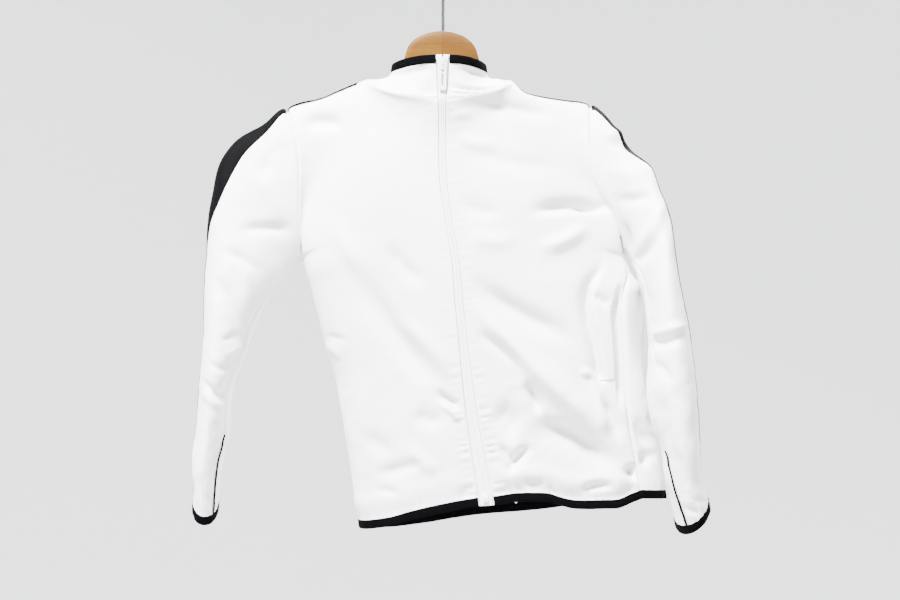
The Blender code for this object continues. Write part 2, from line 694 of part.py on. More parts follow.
def body_pieces():
    """Grids and wall directions of the fronts, the back, the collar and both sleeves."""
    fronts = {side: front_grid(side) for side in (-1, 1)}
    back = back_grid()
    middle = (20.0, 0.0, -380.0)
    normals = {
        "back": grid_normals(back, middle),
        -1: grid_normals(fronts[-1], middle),
        1: grid_normals(fronts[1], middle),
    }
    sleeves = {}
    shoulder = slice(NECK_COLUMNS, NECK_COLUMNS + SHOULDER_COLUMNS + 1)
    below = slice(0, ROWS_BELOW + 1)
    for side in (-1, 1):
        back_column = 0 if side < 0 else -1
        back_shoulder = (
            slice(SHOULDER_COLUMNS, None, -1) if side < 0
            else slice(SHOULDER_COLUMNS + BACK_NECK_COLUMNS, None)
        )
        share_normals(normals[side], (-1, below), normals["back"], (back_column, below))
        share_normals(normals[side], (shoulder, -1), normals["back"], (back_shoulder, -1))
        sleeve = sleeve_grid(side, fronts[side][-1, ROWS_BELOW:], back[back_column, ROWS_BELOW:])
        turned = grid_normals(sleeve, None, ring=True)
        for i in range(1, ROWS_ARMHOLE):
            share_normals(turned, (0, i), normals[side], (-1, -1 - i))
            share_normals(turned, (0, RING - i), normals["back"], (back_column, -1 - i))
        for at, row in ((0, -1), (ROWS_ARMHOLE, ROWS_BELOW)):
            both = unit(turned[0, at] + normals[side][-1, row] + normals["back"][back_column, row])
            turned[0, at] = both
            normals[side][-1, row] = both
            normals["back"][back_column, row] = both
        sleeves[side] = (sleeve, turned)
    collar = collar_grid(fronts, back)
    collar_normals = grid_normals(collar, (0.0, 0.0, -140.0))
    neck_right = slice(0, NECK_COLUMNS + 1)
    count = len(collar)
    share_normals(collar_normals, (neck_right, 0), normals[-1], (neck_right, -1))
    share_normals(
        collar_normals, (slice(count - 1, count - NECK_COLUMNS - 2, -1), 0), normals[1], (neck_right, -1)
    )
    share_normals(
        collar_normals, (slice(NECK_COLUMNS, NECK_COLUMNS + BACK_NECK_COLUMNS + 1), 0),
        normals["back"], (slice(SHOULDER_COLUMNS, SHOULDER_COLUMNS + BACK_NECK_COLUMNS + 1), -1),
    )
    collar_normals[:, -1] = unit(collar_normals[:, -1] * (1.0, 1.0, 0.0))
    return fronts, back, normals, sleeves, collar, collar_normals


def build_shell():
    """Fronts, back, collar, sleeves, bindings and what is sewn on them."""
    fronts, back, normals, sleeves, collar, collar_normals = body_pieces()
    names = {-1: "right", 1: "left"}
    for side in (-1, 1):
        front = fronts[side]
        front[-1] += unit(front[-2] - front[-1]) * SEAM / 2
        shoulder = slice(NECK_COLUMNS, None)
        front[shoulder, -1] += unit(front[shoulder, -2] - front[shoulder, -1]) * SEAM / 2
        wall(f"front_{names[side]}", front, normals[side], CLOTH, white_cloth())
    pull_back(back, SEAM / 2)
    for part in (slice(0, SHOULDER_COLUMNS + 1), slice(SHOULDER_COLUMNS + BACK_NECK_COLUMNS, None)):
        back[part, -1] += unit(back[part, -2] - back[part, -1]) * SEAM / 2
    wall("back", back, normals["back"], CLOTH, white_cloth())
    wall("collar", collar, collar_normals, CLOTH, white_cloth())
    for side in (-1, 1):
        build_sleeve(names[side], *sleeves[side])
        build_shoulder_band(names[side], side, back, normals["back"])
        build_welt(names[side], side, fronts[side], normals[side])
    build_hem_binding(fronts, back, normals)
    rise = collar_rise(collar)
    edge_strip("collar_binding", collar[:, -1], rise, collar_normals[:, -1], BINDING_WIDTH, BINDING,
               black_binding())
    return fronts, normals, collar, collar_normals


def collar_rise(collar):
    """Direction of the binding on the collar's top edge, mostly upright."""
    return unit(unit(collar[:, -1] - collar[:, -2]) * 0.2 + np.array([0.0, 0.0, 0.8]))


def build_sleeve(name, grid, normals):
    top_at = [i % RING for i in range(BACK_SEAM_AT - RING, FRONT_SEAM_AT + 1)]
    under_at = list(range(FRONT_SEAM_AT, BACK_SEAM_AT + 1))
    for part, columns in (("top", top_at), ("under", under_at)):
        points = grid[:, columns].transpose(1, 0, 2).copy()
        pull_back(points, SEAM / 2)
        outward = normals[:, columns].transpose(1, 0, 2)
        wall(f"sleeve_{name}_{part}", points, outward, CLOTH, white_cloth())
    fall = unit(grid[-1] - grid[-2])
    edge_strip(f"cuff_binding_{name}", grid[-1], fall, normals[-1], BINDING_WIDTH, BINDING,
               black_binding(), closed=True)
    band_at = [i % RING for i in range(-BAND_HALF, BAND_HALF + 1)]
    band = grid[1:, band_at].transpose(1, 0, 2)
    outward = normals[1:, band_at].transpose(1, 0, 2)
    laid_strip(f"sleeve_band_{name}", band, outward, CLOTH / 2 + LIE, LAID_ON, black_binding())
    rows = slice(len(grid) - PIPING_ROWS, None)
    seam = grid[rows, FRONT_SEAM_AT]
    around = unit(grid[rows, FRONT_SEAM_AT + 1] - grid[rows, FRONT_SEAM_AT - 1])
    points = np.stack([seam - around * PIPING_HALF_WIDTH, seam + around * PIPING_HALF_WIDTH])
    outward = np.stack([normals[rows, FRONT_SEAM_AT]] * 2)
    laid_strip(f"forearm_piping_{name}", points, outward, CLOTH / 2 + LIE + 0.3, LAID_ON,
               black_binding())


def build_shoulder_band(name, side, back, normals):
    """Dark strip on the back's shoulder, from the neck point to the sleeve band."""
    count = len(back)
    if side < 0:
        columns = slice(0, SHOULDER_COLUMNS)
    else:
        columns = slice(count - SHOULDER_COLUMNS, count)
    rows = slice(-1 - SHOULDER_BAND_ROWS, None)
    laid_strip(f"shoulder_band_{name}", back[columns, rows], normals[columns, rows],
               CLOTH / 2 + LIE, LAID_ON, black_binding())


def between(grid, column, row):
    """The value of a grid at a place between its columns and rows."""
    i = min(int(column), len(grid) - 2)
    j = min(int(row), grid.shape[1] - 2)
    low = grid[i, j] + (grid[i + 1, j] - grid[i, j]) * (column - i)
    high = grid[i, j + 1] + (grid[i + 1, j + 1] - grid[i, j + 1]) * (column - i)
    return low + (high - low) * (row - j)


def build_welt(name, side, front, normals):
    """Pocket welt towards the side seam, from points on the front's grid."""
    points = [[between(front, i, j) for j in WELT_ROWS[side]] for i in WELT_ACROSS[side]]
    outward = [[between(normals, i, j) for j in WELT_ROWS[side]] for i in WELT_ACROSS[side]]
    points, outward = np.array(points), unit(np.array(outward))
    laid_strip(f"pocket_welt_{name}", points, outward, CLOTH / 2 + LIE, LAID_ON, white_cloth())


def build_hem_binding(fronts, back, normals):
    edges = [fronts[-1][:-1, 0], back[1:-1, 0], fronts[1][-2::-1, 0]]
    walls = [normals[-1][:-1, 0], normals["back"][1:-1, 0], normals[1][-2::-1, 0]]
    inner = [fronts[-1][:-1, 1], back[1:-1, 1], fronts[1][-2::-1, 1]]
    right_seam = (fronts[-1][-1, 0] + back[0, 0]) / 2
    left_seam = (fronts[1][-1, 0] + back[-1, 0]) / 2
    right_above = (fronts[-1][-1, 1] + back[0, 1]) / 2
    left_above = (fronts[1][-1, 1] + back[-1, 1]) / 2
    edge = np.vstack([edges[0], right_seam[None], edges[1], left_seam[None], edges[2]])
    above = np.vstack([inner[0], right_above[None], inner[1], left_above[None], inner[2]])
    outward = np.vstack([walls[0], normals[-1][-1:, 0], walls[1], normals[1][-1:, 0], walls[2]])
    edge_strip("hem_binding", edge, unit(edge - above), outward, BINDING_WIDTH, BINDING,
               black_binding())


def zip_lines(fronts, normals, collar, collar_normals):
    """Both edges beside the zip from the hem to the collar's top, and the wall directions."""
    lines = []
    rise = collar_rise(collar)
    for side, column in ((-1, 0), (1, -1)):
        panel = fronts[side][0]
        stand = collar[column]
        hem = panel[0] + unit(panel[0] - panel[1]) * BINDING_WIDTH
        top = stand[-1] + rise[column] * BINDING_WIDTH
        lines.append(np.vstack([hem[None], panel, stand[1:], top[None]]))
    panel_out = unit(normals[-1][0] + normals[1][0])
    stand_out = unit(collar_normals[0] + collar_normals[-1])
    outward = np.vstack([panel_out[:1], panel_out, stand_out[1:], stand_out[-1:]])
    return lines[0], lines[1], outward


def build_zip(fronts, normals, collar, collar_normals):
    right, left, outward = zip_lines(fronts, normals, collar, collar_normals)
    across = unit(left - right)
    middle = (left + right) / 2
    half_gap = np.array([[ZIP_OPEN_HALF_GAP if z > ZIP_OPEN_Z else 0.2] for z in middle[:, 2]])
    coil_rows = middle[:, 2] < ZIP_OPEN_Z - 2
    for name, edge, side in (("right", right, -1.0), ("left", left, 1.0)):
        outer = edge - side * across * SEAM
        inner = middle + side * across * half_gap
        points = np.stack([outer, inner])
        wall(f"zip_tape_{name}", points, np.stack([outward, outward]), TAPE, white_cloth())
        lift = -outward * (TAPE / 2 + LIE + COIL_THICKNESS / 2)
        near = (middle + side * across * 0.2 + lift)[coil_rows]
        far = (middle + side * across * (0.2 + COIL_WIDTH) + lift)[coil_rows]
        wall(f"zip_coil_{name}", np.stack([near, far]), np.stack([outward[coil_rows]] * 2),
             COIL_THICKNESS, white_metal())
    return middle, across, outward


def cube(name, low, high, frame, finish):
    """A box between two corners in a frame's own axes."""
    bm = bmesh.new()
    bmesh.ops.create_cube(bm, size=1.0)
    size = [b - a for a, b in zip(low, high)]
    centre = [(a + b) / 2 for a, b in zip(low, high)]
    place = frame @ Matrix.Translation(Vector(centre) * MM) @ Matrix.Diagonal(
        (*[s * MM for s in size], 1.0)
    )
    bmesh.ops.transform(bm, matrix=place, verts=bm.verts)
    return new_object(name, bm, finish)


def zip_frame(middle, across, outward, z):
    """Axes on the zip's line at a height: X across it, Z up along it, -Y out of the cloth."""
    heights = middle[:, 2]
    point = [float(np.interp(z, heights, middle[:, c])) for c in range(3)]
    upper = [float(np.interp(z + 10.0, heights, middle[:, c])) for c in range(3)]
    lower = [float(np.interp(z - 20.0, heights, middle[:, c])) for c in range(3)]
    up = (Vector(upper) - Vector(lower)).normalized()
    at = int(np.argmin(abs(heights - z)))
    out = Vector(outward[at])
    out = (out - up * out.dot(up)).normalized()
    side = up.cross(out).normalized()
    if side.dot(Vector(across[at])) < 0:
        side = -side
    axes = Matrix((side, -out, up)).transposed().to_4x4()
    return Matrix.Translation(Vector(point) * MM) @ axes


def join_solid(obj, helper):
    helper.hide_render = True
    helper.display_type = "WIRE"
    JACKET.objects.unlink(helper)
    HELPERS.objects.link(helper)
    union = obj.modifiers.new(f"join_{helper.name}", "BOOLEAN")
    union.operation = "UNION"
    union.solver = "EXACT"
    union.object = helper


def build_slider(frame):
    """Slider: plates in front of and behind the tapes, a bridge between them and a loop."""
    face = -(TAPE / 2 + LIE)
    plate_face = face - SLIDER_PLATE
    back_face = TAPE / 2 + LIE + COIL_THICKNESS + LIE
    half_width = SLIDER_WIDTH / 2
    half_height = SLIDER_HEIGHT / 2
    slider = cube("zip_slider", (-half_width, plate_face, -half_height),
                  (half_width, face, half_height), frame, white_metal())
    helpers = [
        ("slider_back_plate", (-half_width, back_face, -half_height),
         (half_width, back_face + SLIDER_PLATE, half_height)),
        ("slider_bridge", (-BRIDGE_WIDTH / 2, plate_face + 0.4, half_height - BRIDGE_HEIGHT),
         (BRIDGE_WIDTH / 2, back_face + 0.6, half_height - 0.4)),
    ]
    inside = TAB_BAR + 2 * LIE + 0.7
    loop_face = plate_face - inside
    half_loop = TAB_BAR / 2 + LIE + 0.35
    for name, low, high in (("upper", half_loop, half_loop + LOOP_WIRE),
                            ("lower", -half_loop - LOOP_WIRE, -half_loop)):
        helpers.append((f"slider_loop_{name}",
                        (-LOOP_WIDTH / 2, loop_face - LOOP_WIRE + 0.2, low - HINGE_DROP),
                        (LOOP_WIDTH / 2, plate_face + 0.4, high - HINGE_DROP)))
    helpers.append(("slider_loop_bar",
                    (-LOOP_WIDTH / 2 - 0.1, loop_face - LOOP_WIRE, -half_loop - LOOP_WIRE - HINGE_DROP - 0.1),
                    (LOOP_WIDTH / 2 + 0.1, loop_face, half_loop + LOOP_WIRE - HINGE_DROP + 0.1)))
    for name, low, high in helpers:
        join_solid(slider, cube(name, low, high, frame, white_metal()))
    return plate_face - inside / 2


def rounded_rectangle(low_x, low_y, high_x, high_y, radius, steps=4):
    points = []
    corners = ((high_x, high_y, 0), (low_x, high_y, 90), (low_x, low_y, 180), (high_x, low_y, 270))
    for x, y, start in corners:
        cx = x - math.copysign(radius, x - (low_x + high_x) / 2)
        cy = y - math.copysign(radius, y - (low_y + high_y) / 2)
        for k in range(steps + 1):
            turn = math.radians(start + 90.0 * k / steps)
            points.append((cx + radius * math.cos(turn), cy + radius * math.sin(turn)))
    return points


def build_pull_tab(frame, hinge_y):
    """Pull tab, its origin on the hinge: a flat bar with an eye for the loop and a slot."""
    curve = bpy.data.curves.new("zip_pull_tab", "CURVE")
    curve.dimensions = "2D"
    curve.fill_mode = "BOTH"
    curve.extrude = TAB_THICKNESS / 2 * MM
    top = TAB_BAR / 2
    foot = top - TAB_LENGTH
    half = TAB_WIDTH / 2
    eye_foot = -TAB_BAR / 2 - TAB_EYE_HEIGHT
    slot_top = eye_foot - 2.4
    outlines = (
        rounded_rectangle(-half, foot, half, top, 0.6 + TAB_BAR / 2, 4),
        rounded_rectangle(-TAB_EYE_WIDTH / 2, eye_foot, TAB_EYE_WIDTH / 2, -TAB_BAR / 2, 0.3, 2),
        rounded_rectangle(-TAB_SLOT_WIDTH / 2, slot_top - TAB_SLOT_LENGTH, TAB_SLOT_WIDTH / 2,
                          slot_top, 0.9, 3),
    )
    for outline in outlines:
        spline = curve.splines.new("POLY")
        spline.points.add(len(outline) - 1)
        for point, (x, y) in zip(spline.points, outline):
            point.co = (x * MM, y * MM, 0.0, 1.0)
        spline.use_cyclic_u = True
    curve.materials.append(white_metal())
    tab = bpy.data.objects.new("zip_pull_tab", curve)
    JACKET.objects.link(tab)
    hinge = frame @ Matrix.Translation(Vector((0.0, hinge_y, -HINGE_DROP)) * MM)
    tab.matrix_world = hinge @ Matrix.Rotation(math.radians(90), 4, "X")


def build_bottom_box(middle, across, outward):
    """Box that holds both chains together at the hem."""
    frame = zip_frame(middle, across, outward, float(middle[0, 2]) + 6.0)
    face = -(TAPE / 2 + LIE)
    cube("zip_bottom_box", (-3.0, face - 1.3, -5.0), (3.0, face, 4.0), frame, white_metal())


def build_hook():
    """Question-mark hook: an arc over the rail, then back to the axis and down the stem."""
    centre_z = HOOK_WIRE / 2 - HOOK_RADIUS
    points = []
    arc_start, arc_end, arc_steps = 205.0, -40.0, 26
    for k in range(arc_steps + 1):
        turn = math.radians(arc_start + (arc_end - arc_start) * k / arc_steps)
        points.append((HOOK_RADIUS * math.cos(turn), centre_z + HOOK_RADIUS * math.sin(turn)))
    start = Vector(points[-1])
    heading = Vector((math.sin(turn), -math.cos(turn)))
    bend = (start, start + heading * 9.0, Vector((0.0, centre_z - 22.0)), Vector((0.0, centre_z - 32.0)))
    bend_steps = 8
    for k in range(1, bend_steps + 1):
        t = k / bend_steps
        weights = ((1 - t) ** 3, 3 * t * (1 - t) ** 2, 3 * t * t * (1 - t), t ** 3)
        points.append(sum((w * p for w, p in zip(weights, bend)), Vector((0.0, 0.0))))
    points.append((0.0, STEM_END_Z))
    curve = bpy.data.curves.new("hook_wire", "CURVE")
    curve.dimensions = "3D"
    curve.bevel_depth = HOOK_WIRE / 2 * MM
    curve.bevel_resolution = 2
    curve.use_fill_caps = True
    spline = curve.splines.new("POLY")
    spline.points.add(len(points) - 1)
    for point, (x, z) in zip(spline.points, points):
        point.co = (x * MM, 0.0, z * MM, 1.0)
    curve.materials.append(steel())
    JACKET.objects.link(bpy.data.objects.new("hook_wire", curve))


def build_hanger_arm(name, side):
    """Half of the wooden hanger, glued to the other at the middle."""
    rings = []
    points = 16
    for distance, top, height, thickness in WOOD_TOP:
        x = HANGER_MIDDLE_X + side * (distance + LIE / 2)
        ring = []
        for i in range(points):
            turn = 2 * math.pi * (i + 0.5) / points
            across = math.copysign(abs(math.cos(turn)) ** 0.75, math.cos(turn))
            up = math.copysign(abs(math.sin(turn)) ** 0.75, math.sin(turn))
            ring.append((x, across * thickness / 2, top - height / 2 + up * height / 2))
        rings.append(ring)
    loft(name, rings, wood())


clear_scene()
JACKET = bpy.data.collections.new("windbreaker_on_hanger")
HELPERS = bpy.data.collections.new("helpers")
bpy.context.scene.collection.children.link(JACKET)
bpy.context.scene.collection.children.link(HELPERS)

shell = build_shell()
zip_line, zip_across, zip_outward = build_zip(*shell)
slider_frame = zip_frame(zip_line, zip_across, zip_outward, SLIDER_Z)
hinge_y = build_slider(slider_frame)
build_pull_tab(slider_frame, hinge_y)
build_bottom_box(zip_line, zip_across, zip_outward)
build_hook()
build_hanger_arm("hanger_arm_right", -1)
build_hanger_arm("hanger_arm_left", 1)
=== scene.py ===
"""Windbreaker on a wooden hanger: the looks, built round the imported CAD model.
Metres, +Z up, the front faces -Y, and +X is the wearer's left. The tables are in millimetres."""

import json
import math

import bmesh
import bpy
import numpy as np
from mathutils import Matrix, Vector, noise


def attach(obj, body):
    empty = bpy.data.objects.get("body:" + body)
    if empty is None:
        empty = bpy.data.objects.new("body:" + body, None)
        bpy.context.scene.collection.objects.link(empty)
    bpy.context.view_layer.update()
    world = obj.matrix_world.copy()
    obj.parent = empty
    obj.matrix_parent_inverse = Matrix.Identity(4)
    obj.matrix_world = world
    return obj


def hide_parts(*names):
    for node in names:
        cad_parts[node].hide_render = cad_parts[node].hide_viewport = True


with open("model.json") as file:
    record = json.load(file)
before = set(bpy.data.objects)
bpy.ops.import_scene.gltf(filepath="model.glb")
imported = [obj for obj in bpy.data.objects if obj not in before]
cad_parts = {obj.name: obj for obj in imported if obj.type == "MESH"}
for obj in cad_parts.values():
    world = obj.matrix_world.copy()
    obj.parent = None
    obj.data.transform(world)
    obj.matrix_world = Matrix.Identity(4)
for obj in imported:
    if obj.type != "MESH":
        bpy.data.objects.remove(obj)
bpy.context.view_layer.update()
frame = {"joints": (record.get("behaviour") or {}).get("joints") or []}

MM = 0.001
LAP = 1.2                  # how far a binding reaches in over the cloth's edge
SECTION_POINTS = 16        # round a binding
FULL_LENGTH = 48.0         # shorter creases are shallower

SEAM = 0.4                 # gap between two sewn pieces
BINDING = 2.4              # folded binding
BINDING_WIDTH = 8.5
ROUNDNESS = 2.4            # 2 would be an ellipse
FLAT_ROUNDNESS = 3.4       # beside the armholes, where the panels meet the sleeves
FLAT_FROM, FLAT_FADE = 325.0, 70.0    # how far down that begins, and over what height
ARMHOLE_DEPTH = 23.0       # half the gap between front and back edges of an armhole
SHOULDER_ROUND = 30.0      # how far below its seam a shoulder is still rounding over
NECK_ROUND = 70.0

# Rows and columns of the panels' grids
ROWS_BELOW = 15            # hem to armpit
ROWS_ARMHOLE = 9           # armpit to shoulder point
LAST_ROW = ROWS_BELOW + ROWS_ARMHOLE
NECK_COLUMNS = 6           # zip to neck point
SHOULDER_COLUMNS = 8       # neck point to shoulder point
BACK_NECK_COLUMNS = 10
FRONT_COLUMNS = NECK_COLUMNS + SHOULDER_COLUMNS
BACK_COLUMNS = 2 * SHOULDER_COLUMNS + BACK_NECK_COLUMNS
COLLAR_ROWS = 3

# Body sections: height, right and left side, depth of the front and of the back
BODY_ROWS = (
    # z, x_right, x_left, front, back
    (-650, -90, 250, 64, 56), (-620, -92.4, 247, 64, 56), (-580, -99, 243, 63, 55),
    (-543, -104.5, 237, 62, 54), (-505, -110, 229, 61, 53), (-465, -116.6, 224, 60, 52),
    (-425, -128.7, 225, 59, 51), (-395, -137.5, 224, 58, 50), (-378, -141.5, 221, 57.5, 49.5),
    (-360, -146, 216, 57, 49), (-345, -150.5, 205.5, 56.5, 48.5), (-335, -154, 199.5, 56, 48),
    (-305, -155, 193.6, 54, 46), (-278, -155.6, 184.8, 52, 44), (-256, -155.6, 173, 50, 42),
    (-232, -155.8, 164.5, 47, 39), (-212, -157.5, 161.5, 44, 36), (-190, -163, 161, 38, 32),
    (-168, -170.5, 161.5, 30, 26), (-120, -176, 161.5, 20, 20),
)

# Side seams: how far they have turned from the side towards the front, in degrees
SEAM_TURN = (
    # z, right, left
    (-640, -14, 37), (-540, -14, 37), (-460, -14, 35), (-395, -12, 36), (-360, -8, 27),
    (-331, 0, 0), (-120, 0, 0),
)

# The zip's line, and half of the width that its tapes show
ZIP_ROWS = (
    # z, x, half_width
    (-640, 53, 8.6), (-600, 47.4, 8.4), (-487, 29.2, 6.6), (-420, 21.6, 5.2), (-368, 16.3, 4.8),
    (-339, 14.1, 4.6), (-280, 4.5, 4.4), (-232, -0.6, 4.4), (-150, -1, 4.6), (-128, -0.5, 6.2),
    (-110, 0.5, 9),
)

# Where a table has two sides, -1 is the wearer's right and 1 the left.

# Hem heights, by the share of the way from the zip to the side seam
FRONT_HEM = {-1: (
    (0, -589), (0.13, -596), (0.29, -605), (0.44, -613), (0.7, -618), (1, -619),
), 1: (
    (0, -588), (0.08, -584.5), (0.23, -584), (0.3, -588), (0.44, -592.5), (0.72, -592.5),
    (0.87, -587), (1, -583),
)}
# The back's hem, by the share of the way from the right side seam to the left
BACK_HEM = (
    (0, -619), (0.12, -622.5), (0.22, -619), (0.3, -612.5), (0.42, -604), (0.55, -593),
    (0.75, -588), (1, -583),
)

# Shoulder seams: share of the way from the neck point to the shoulder point, x, z
SHOULDER = {-1: (
    (0, -86, -135), (0.3, -112, -146), (0.6, -137, -156.5), (0.82, -158, -160.6), (1, -171.5, -167),
), 1: (
    (0, 76, -136), (0.15, 89, -149), (0.4, 110, -154), (0.7, 136, -158), (0.88, 152, -159.8),
    (1, 161.5, -163),
)}
ARMPIT = {-1: -335, 1: -328}

# Neckline and collar
FRONT_NECK_Y = -50.0
FRONT_NECK_Z = -160.0
NECK_DIP = 1.3             # 1 would be an ellipse
BACK_NECK_Y = 45.0
BACK_NECK_Z = -131.0
COLLAR_TOP_X = -4.5
COLLAR_TOP_HALF_WIDTH = 52.0
COLLAR_TOP_FRONT = 46.0
COLLAR_TOP_BACK = 42.0
COLLAR_TOP_Z = -121.0      # at the binding's seam, at the front
COLLAR_SIDE_DROP = 6.0

# Sleeves: each row is a ring between a point of the outer line and one of the inner line.
# y is the ring's middle, depth half of its size along Y, drop how much lower its front is
# than its middle, twist how far its grain has turned to the front, in degrees: rows of
# outer_x, outer_z, inner_x, inner_z, y, depth, drop, twist
SLEEVE = {-1: (
    (-177, -168.8, -156.2, -335.8, 0, 24, 0, 5), (-199.1, -185.6, -158.4, -341, -1, 26, 0, 14),
    (-227.7, -202.1, -165, -347, -2, 28, 0, 24), (-244.2, -227.4, -173.8, -354, -3, 31, 0, 27),
    (-251.9, -261.5, -183.7, -363, -4, 36, 0, 20), (-256.3, -291.2, -192.5, -377, -5, 41, 0, 8),
    (-258.5, -327.5, -201.3, -394.6, -6, 45, 0, -4), (-260.2, -366, -209, -415.5, -7, 48, 0, -8),
    (-260.7, -404.5, -217.8, -440.8, -8, 50, 0, -8),
    (-261.8, -437.5, -227.7, -461.7, -8, 51, 2, -10),
    (-266.2, -472.7, -231.6, -484.8, -8, 51, 4, -12),
    (-269.5, -512.3, -233.8, -520, -8, 50, 6, -14), (-272.3, -551.9, -242, -555.2, -9, 46, 9, -16),
    (-272.6, -594, -246.5, -602, -10, 37, 13, -18),
), 1: (
    (166.5, -165, 199.5, -329, 0, 24, 0, 3), (179.3, -175.7, 202, -331.9, -3, 26, 0, 6),
    (192.5, -194.4, 205, -335.6, -7, 28, 0, 5), (207.9, -215.3, 208.5, -341, -13, 31, 0, 0),
    (226.6, -234, 211.5, -348.6, -20, 34, 0, -4), (236.5, -262.6, 214.5, -358.3, -28, 38, 0, -4),
    (246.4, -291.2, 217.5, -371.5, -35, 42, 0, 2), (249.7, -325.3, 219.5, -385.8, -41, 45, 0, 6),
    (255.2, -360.5, 221.5, -404.5, -45, 47, 0, 0), (260.7, -394.6, 222.8, -426.5, -48, 48, 0, -6),
    (267.3, -434.2, 222, -448.5, -49, 49, 2, -8), (270.6, -471.6, 219, -475.5, -49, 49, 4, -8),
    (273.9, -502, 224, -505, -48, 49, 6, -8), (276.1, -531, 234.3, -533.5, -46, 48, 8, -12),
    (278.3, -562, 240.4, -569, -44, 44, 9, -24), (285.5, -591.5, 250.8, -615, -42, 36, 10, -42),
)}
RING = 2 * ROWS_ARMHOLE    # points round a sleeve, the first at the shoulder point
FRONT_SEAM_AT = 8          # the ring's point on the sleeve's front seam
BACK_SEAM_AT = 12
PIPING_ROWS = 3            # rings above the cuff that the piping passes
SHOULDER_BAND_ROWS = 2

# The back's largest folds, as rows of x1, z1, x2, z2, width, depth
BACK_FOLDS = (
    (-125, -215, -30, -420, 18, 5), (128, -215, 60, -400, 18, 5), (-30, -170, -10, -330, 16, -4),
    (-60, -440, 40, -585, 20, 5.5), (110, -420, 170, -570, 18, 5), (180, -330, 150, -480, 14, 4),
)

# Columns and rows of the front's grid that each side's pocket welt lies on
WELT_ACROSS = {-1: (12.12, 12.92), 1: (10, 11, 12)}
WELT_ROWS = {-1: (7, 8, 9, 10, 11), 1: (7.25, 8, 9, 10, 11, 11.6)}

# Zip
ZIP_OPEN_Z = -123.0        # above this the tapes part round the slider's bridge
ZIP_OPEN_HALF_GAP = 1.1
SLIDER_Z = -122.5
TAB_WIDTH = 8.0
TAB_LENGTH = 24.5
TAB_THICKNESS = 1.4
TAB_BAR = 1.3              # the bar at the tab's top, which the slider's loop holds
TAB_EYE_WIDTH = 3.4
TAB_EYE_HEIGHT = 3.2
TAB_SLOT_WIDTH = 2.2
TAB_SLOT_LENGTH = 12.5

# Hanger
HOOK_WIRE = 3.6
HOOK_RADIUS = 20.0
STEM_END_Z = -80.95
HOOK_TIP = ((-1.6, 0.3), (-1.1, 0.75), (-0.4, 0.97))    # how far on, share of the wire's radius
WOOD_TOP = (
    # distance from the middle, height of the upper edge, height of the section, thickness
    (0, -81, 44, 13), (9, -82, 44, 13), (20, -85, 43, 13), (30, -90.5, 41, 13), (37, -99, 37, 13),
    (41.5, -113, 32, 13), (45.5, -127, 25, 13), (57, -137.5, 24, 13), (72, -148, 22, 13),
    (90, -156, 22, 12), (112, -159.2, 24, 11.5), (132, -161, 25, 11.5), (142, -162.4, 24, 11),
    (147, -165, 18, 8),
)
HANGER_MIDDLE_X = -1.6
TIP_ROUND = 3.5            # the length over which an arm's end closes



def table_value(rows, column, at):
    """A column's value between the rows of a table, on a smooth curve with no overshoot."""
    xs, ys = (np.array([row[c] for row in rows], float) for c in (0, column))
    if at <= xs[0] or at >= xs[-1]:
        return float(ys[0] if at <= xs[0] else ys[-1])
    steps = np.diff(xs)
    rises = np.diff(ys) / steps
    slopes = np.concatenate([rises[:1], np.zeros(len(xs) - 2), rises[-1:]])
    for i in range(1, len(xs) - 1):
        if rises[i - 1] * rises[i] > 0:
            slopes[i] = 2 * rises[i - 1] * rises[i] / (rises[i - 1] + rises[i])
    i = int(np.searchsorted(xs, at, side="right")) - 1
    t = (at - xs[i]) / steps[i]
    start = ys[i] * (1 + 2 * t) * (1 - t) ** 2 + steps[i] * slopes[i] * t * (1 - t) ** 2
    end = ys[i + 1] * t * t * (3 - 2 * t) + steps[i] * slopes[i + 1] * t * t * (t - 1)
    return float(start + end)


def smooth(t):
    t = np.clip(t, 0.0, 1.0)
    return t * t * (3 - 2 * t)


def unit(vectors):
    return vectors / np.maximum(np.linalg.norm(vectors, axis=-1, keepdims=True), 1e-9)


def signed_power(value, power):
    return math.copysign(abs(value) ** power, value)


def section(theta, z):
    """The body's mid-surface at a height: theta 0 is its left side, 90 the front."""
    right, left, front, back = (table_value(BODY_ROWS, c, z) for c in (1, 2, 3, 4))
    turn = math.radians(theta)
    across = math.cos(turn)
    deep = math.sin(turn)
    x = (left + right) / 2 + (left - right) / 2 * signed_power(across, 2 / ROUNDNESS)
    round_share = abs(deep) ** (2 / ROUNDNESS)
    flat_share = 1 - abs(across) ** FLAT_ROUNDNESS
    share = round_share + (flat_share - round_share) * smooth((z + FLAT_FROM) / FLAT_FADE)
    return x, front if deep > 0 else back, share, math.copysign(1.0, deep)


def theta_at(x, z):
    """The turn at which the front of the section has this x."""
    right, left = (table_value(BODY_ROWS, c, z) for c in (1, 2))
    across = min(max((x - (left + right) / 2) / ((left - right) / 2), -1.0), 1.0)
    return math.degrees(math.acos(signed_power(across, ROUNDNESS / 2)))


def zip_edge(side, z):
    """x of the panel's edge at the zip; side is -1 for the wearer's right, 1 for the left."""
    return table_value(ZIP_ROWS, 1, z) + side * table_value(ZIP_ROWS, 2, z)


def seam_theta(side, z):
    turn = table_value(SEAM_TURN, 1 if side < 0 else 2, z)
    return 180.0 - turn if side < 0 else turn


def zip_theta(side, z):
    return theta_at(zip_edge(side, z), z)


def armhole_shares():
    """Heights of the rows between armpit and shoulder point, closer together at both."""
    return [(1 - math.cos(math.pi * j / ROWS_ARMHOLE)) / 2 for j in range(ROWS_ARMHOLE + 1)]


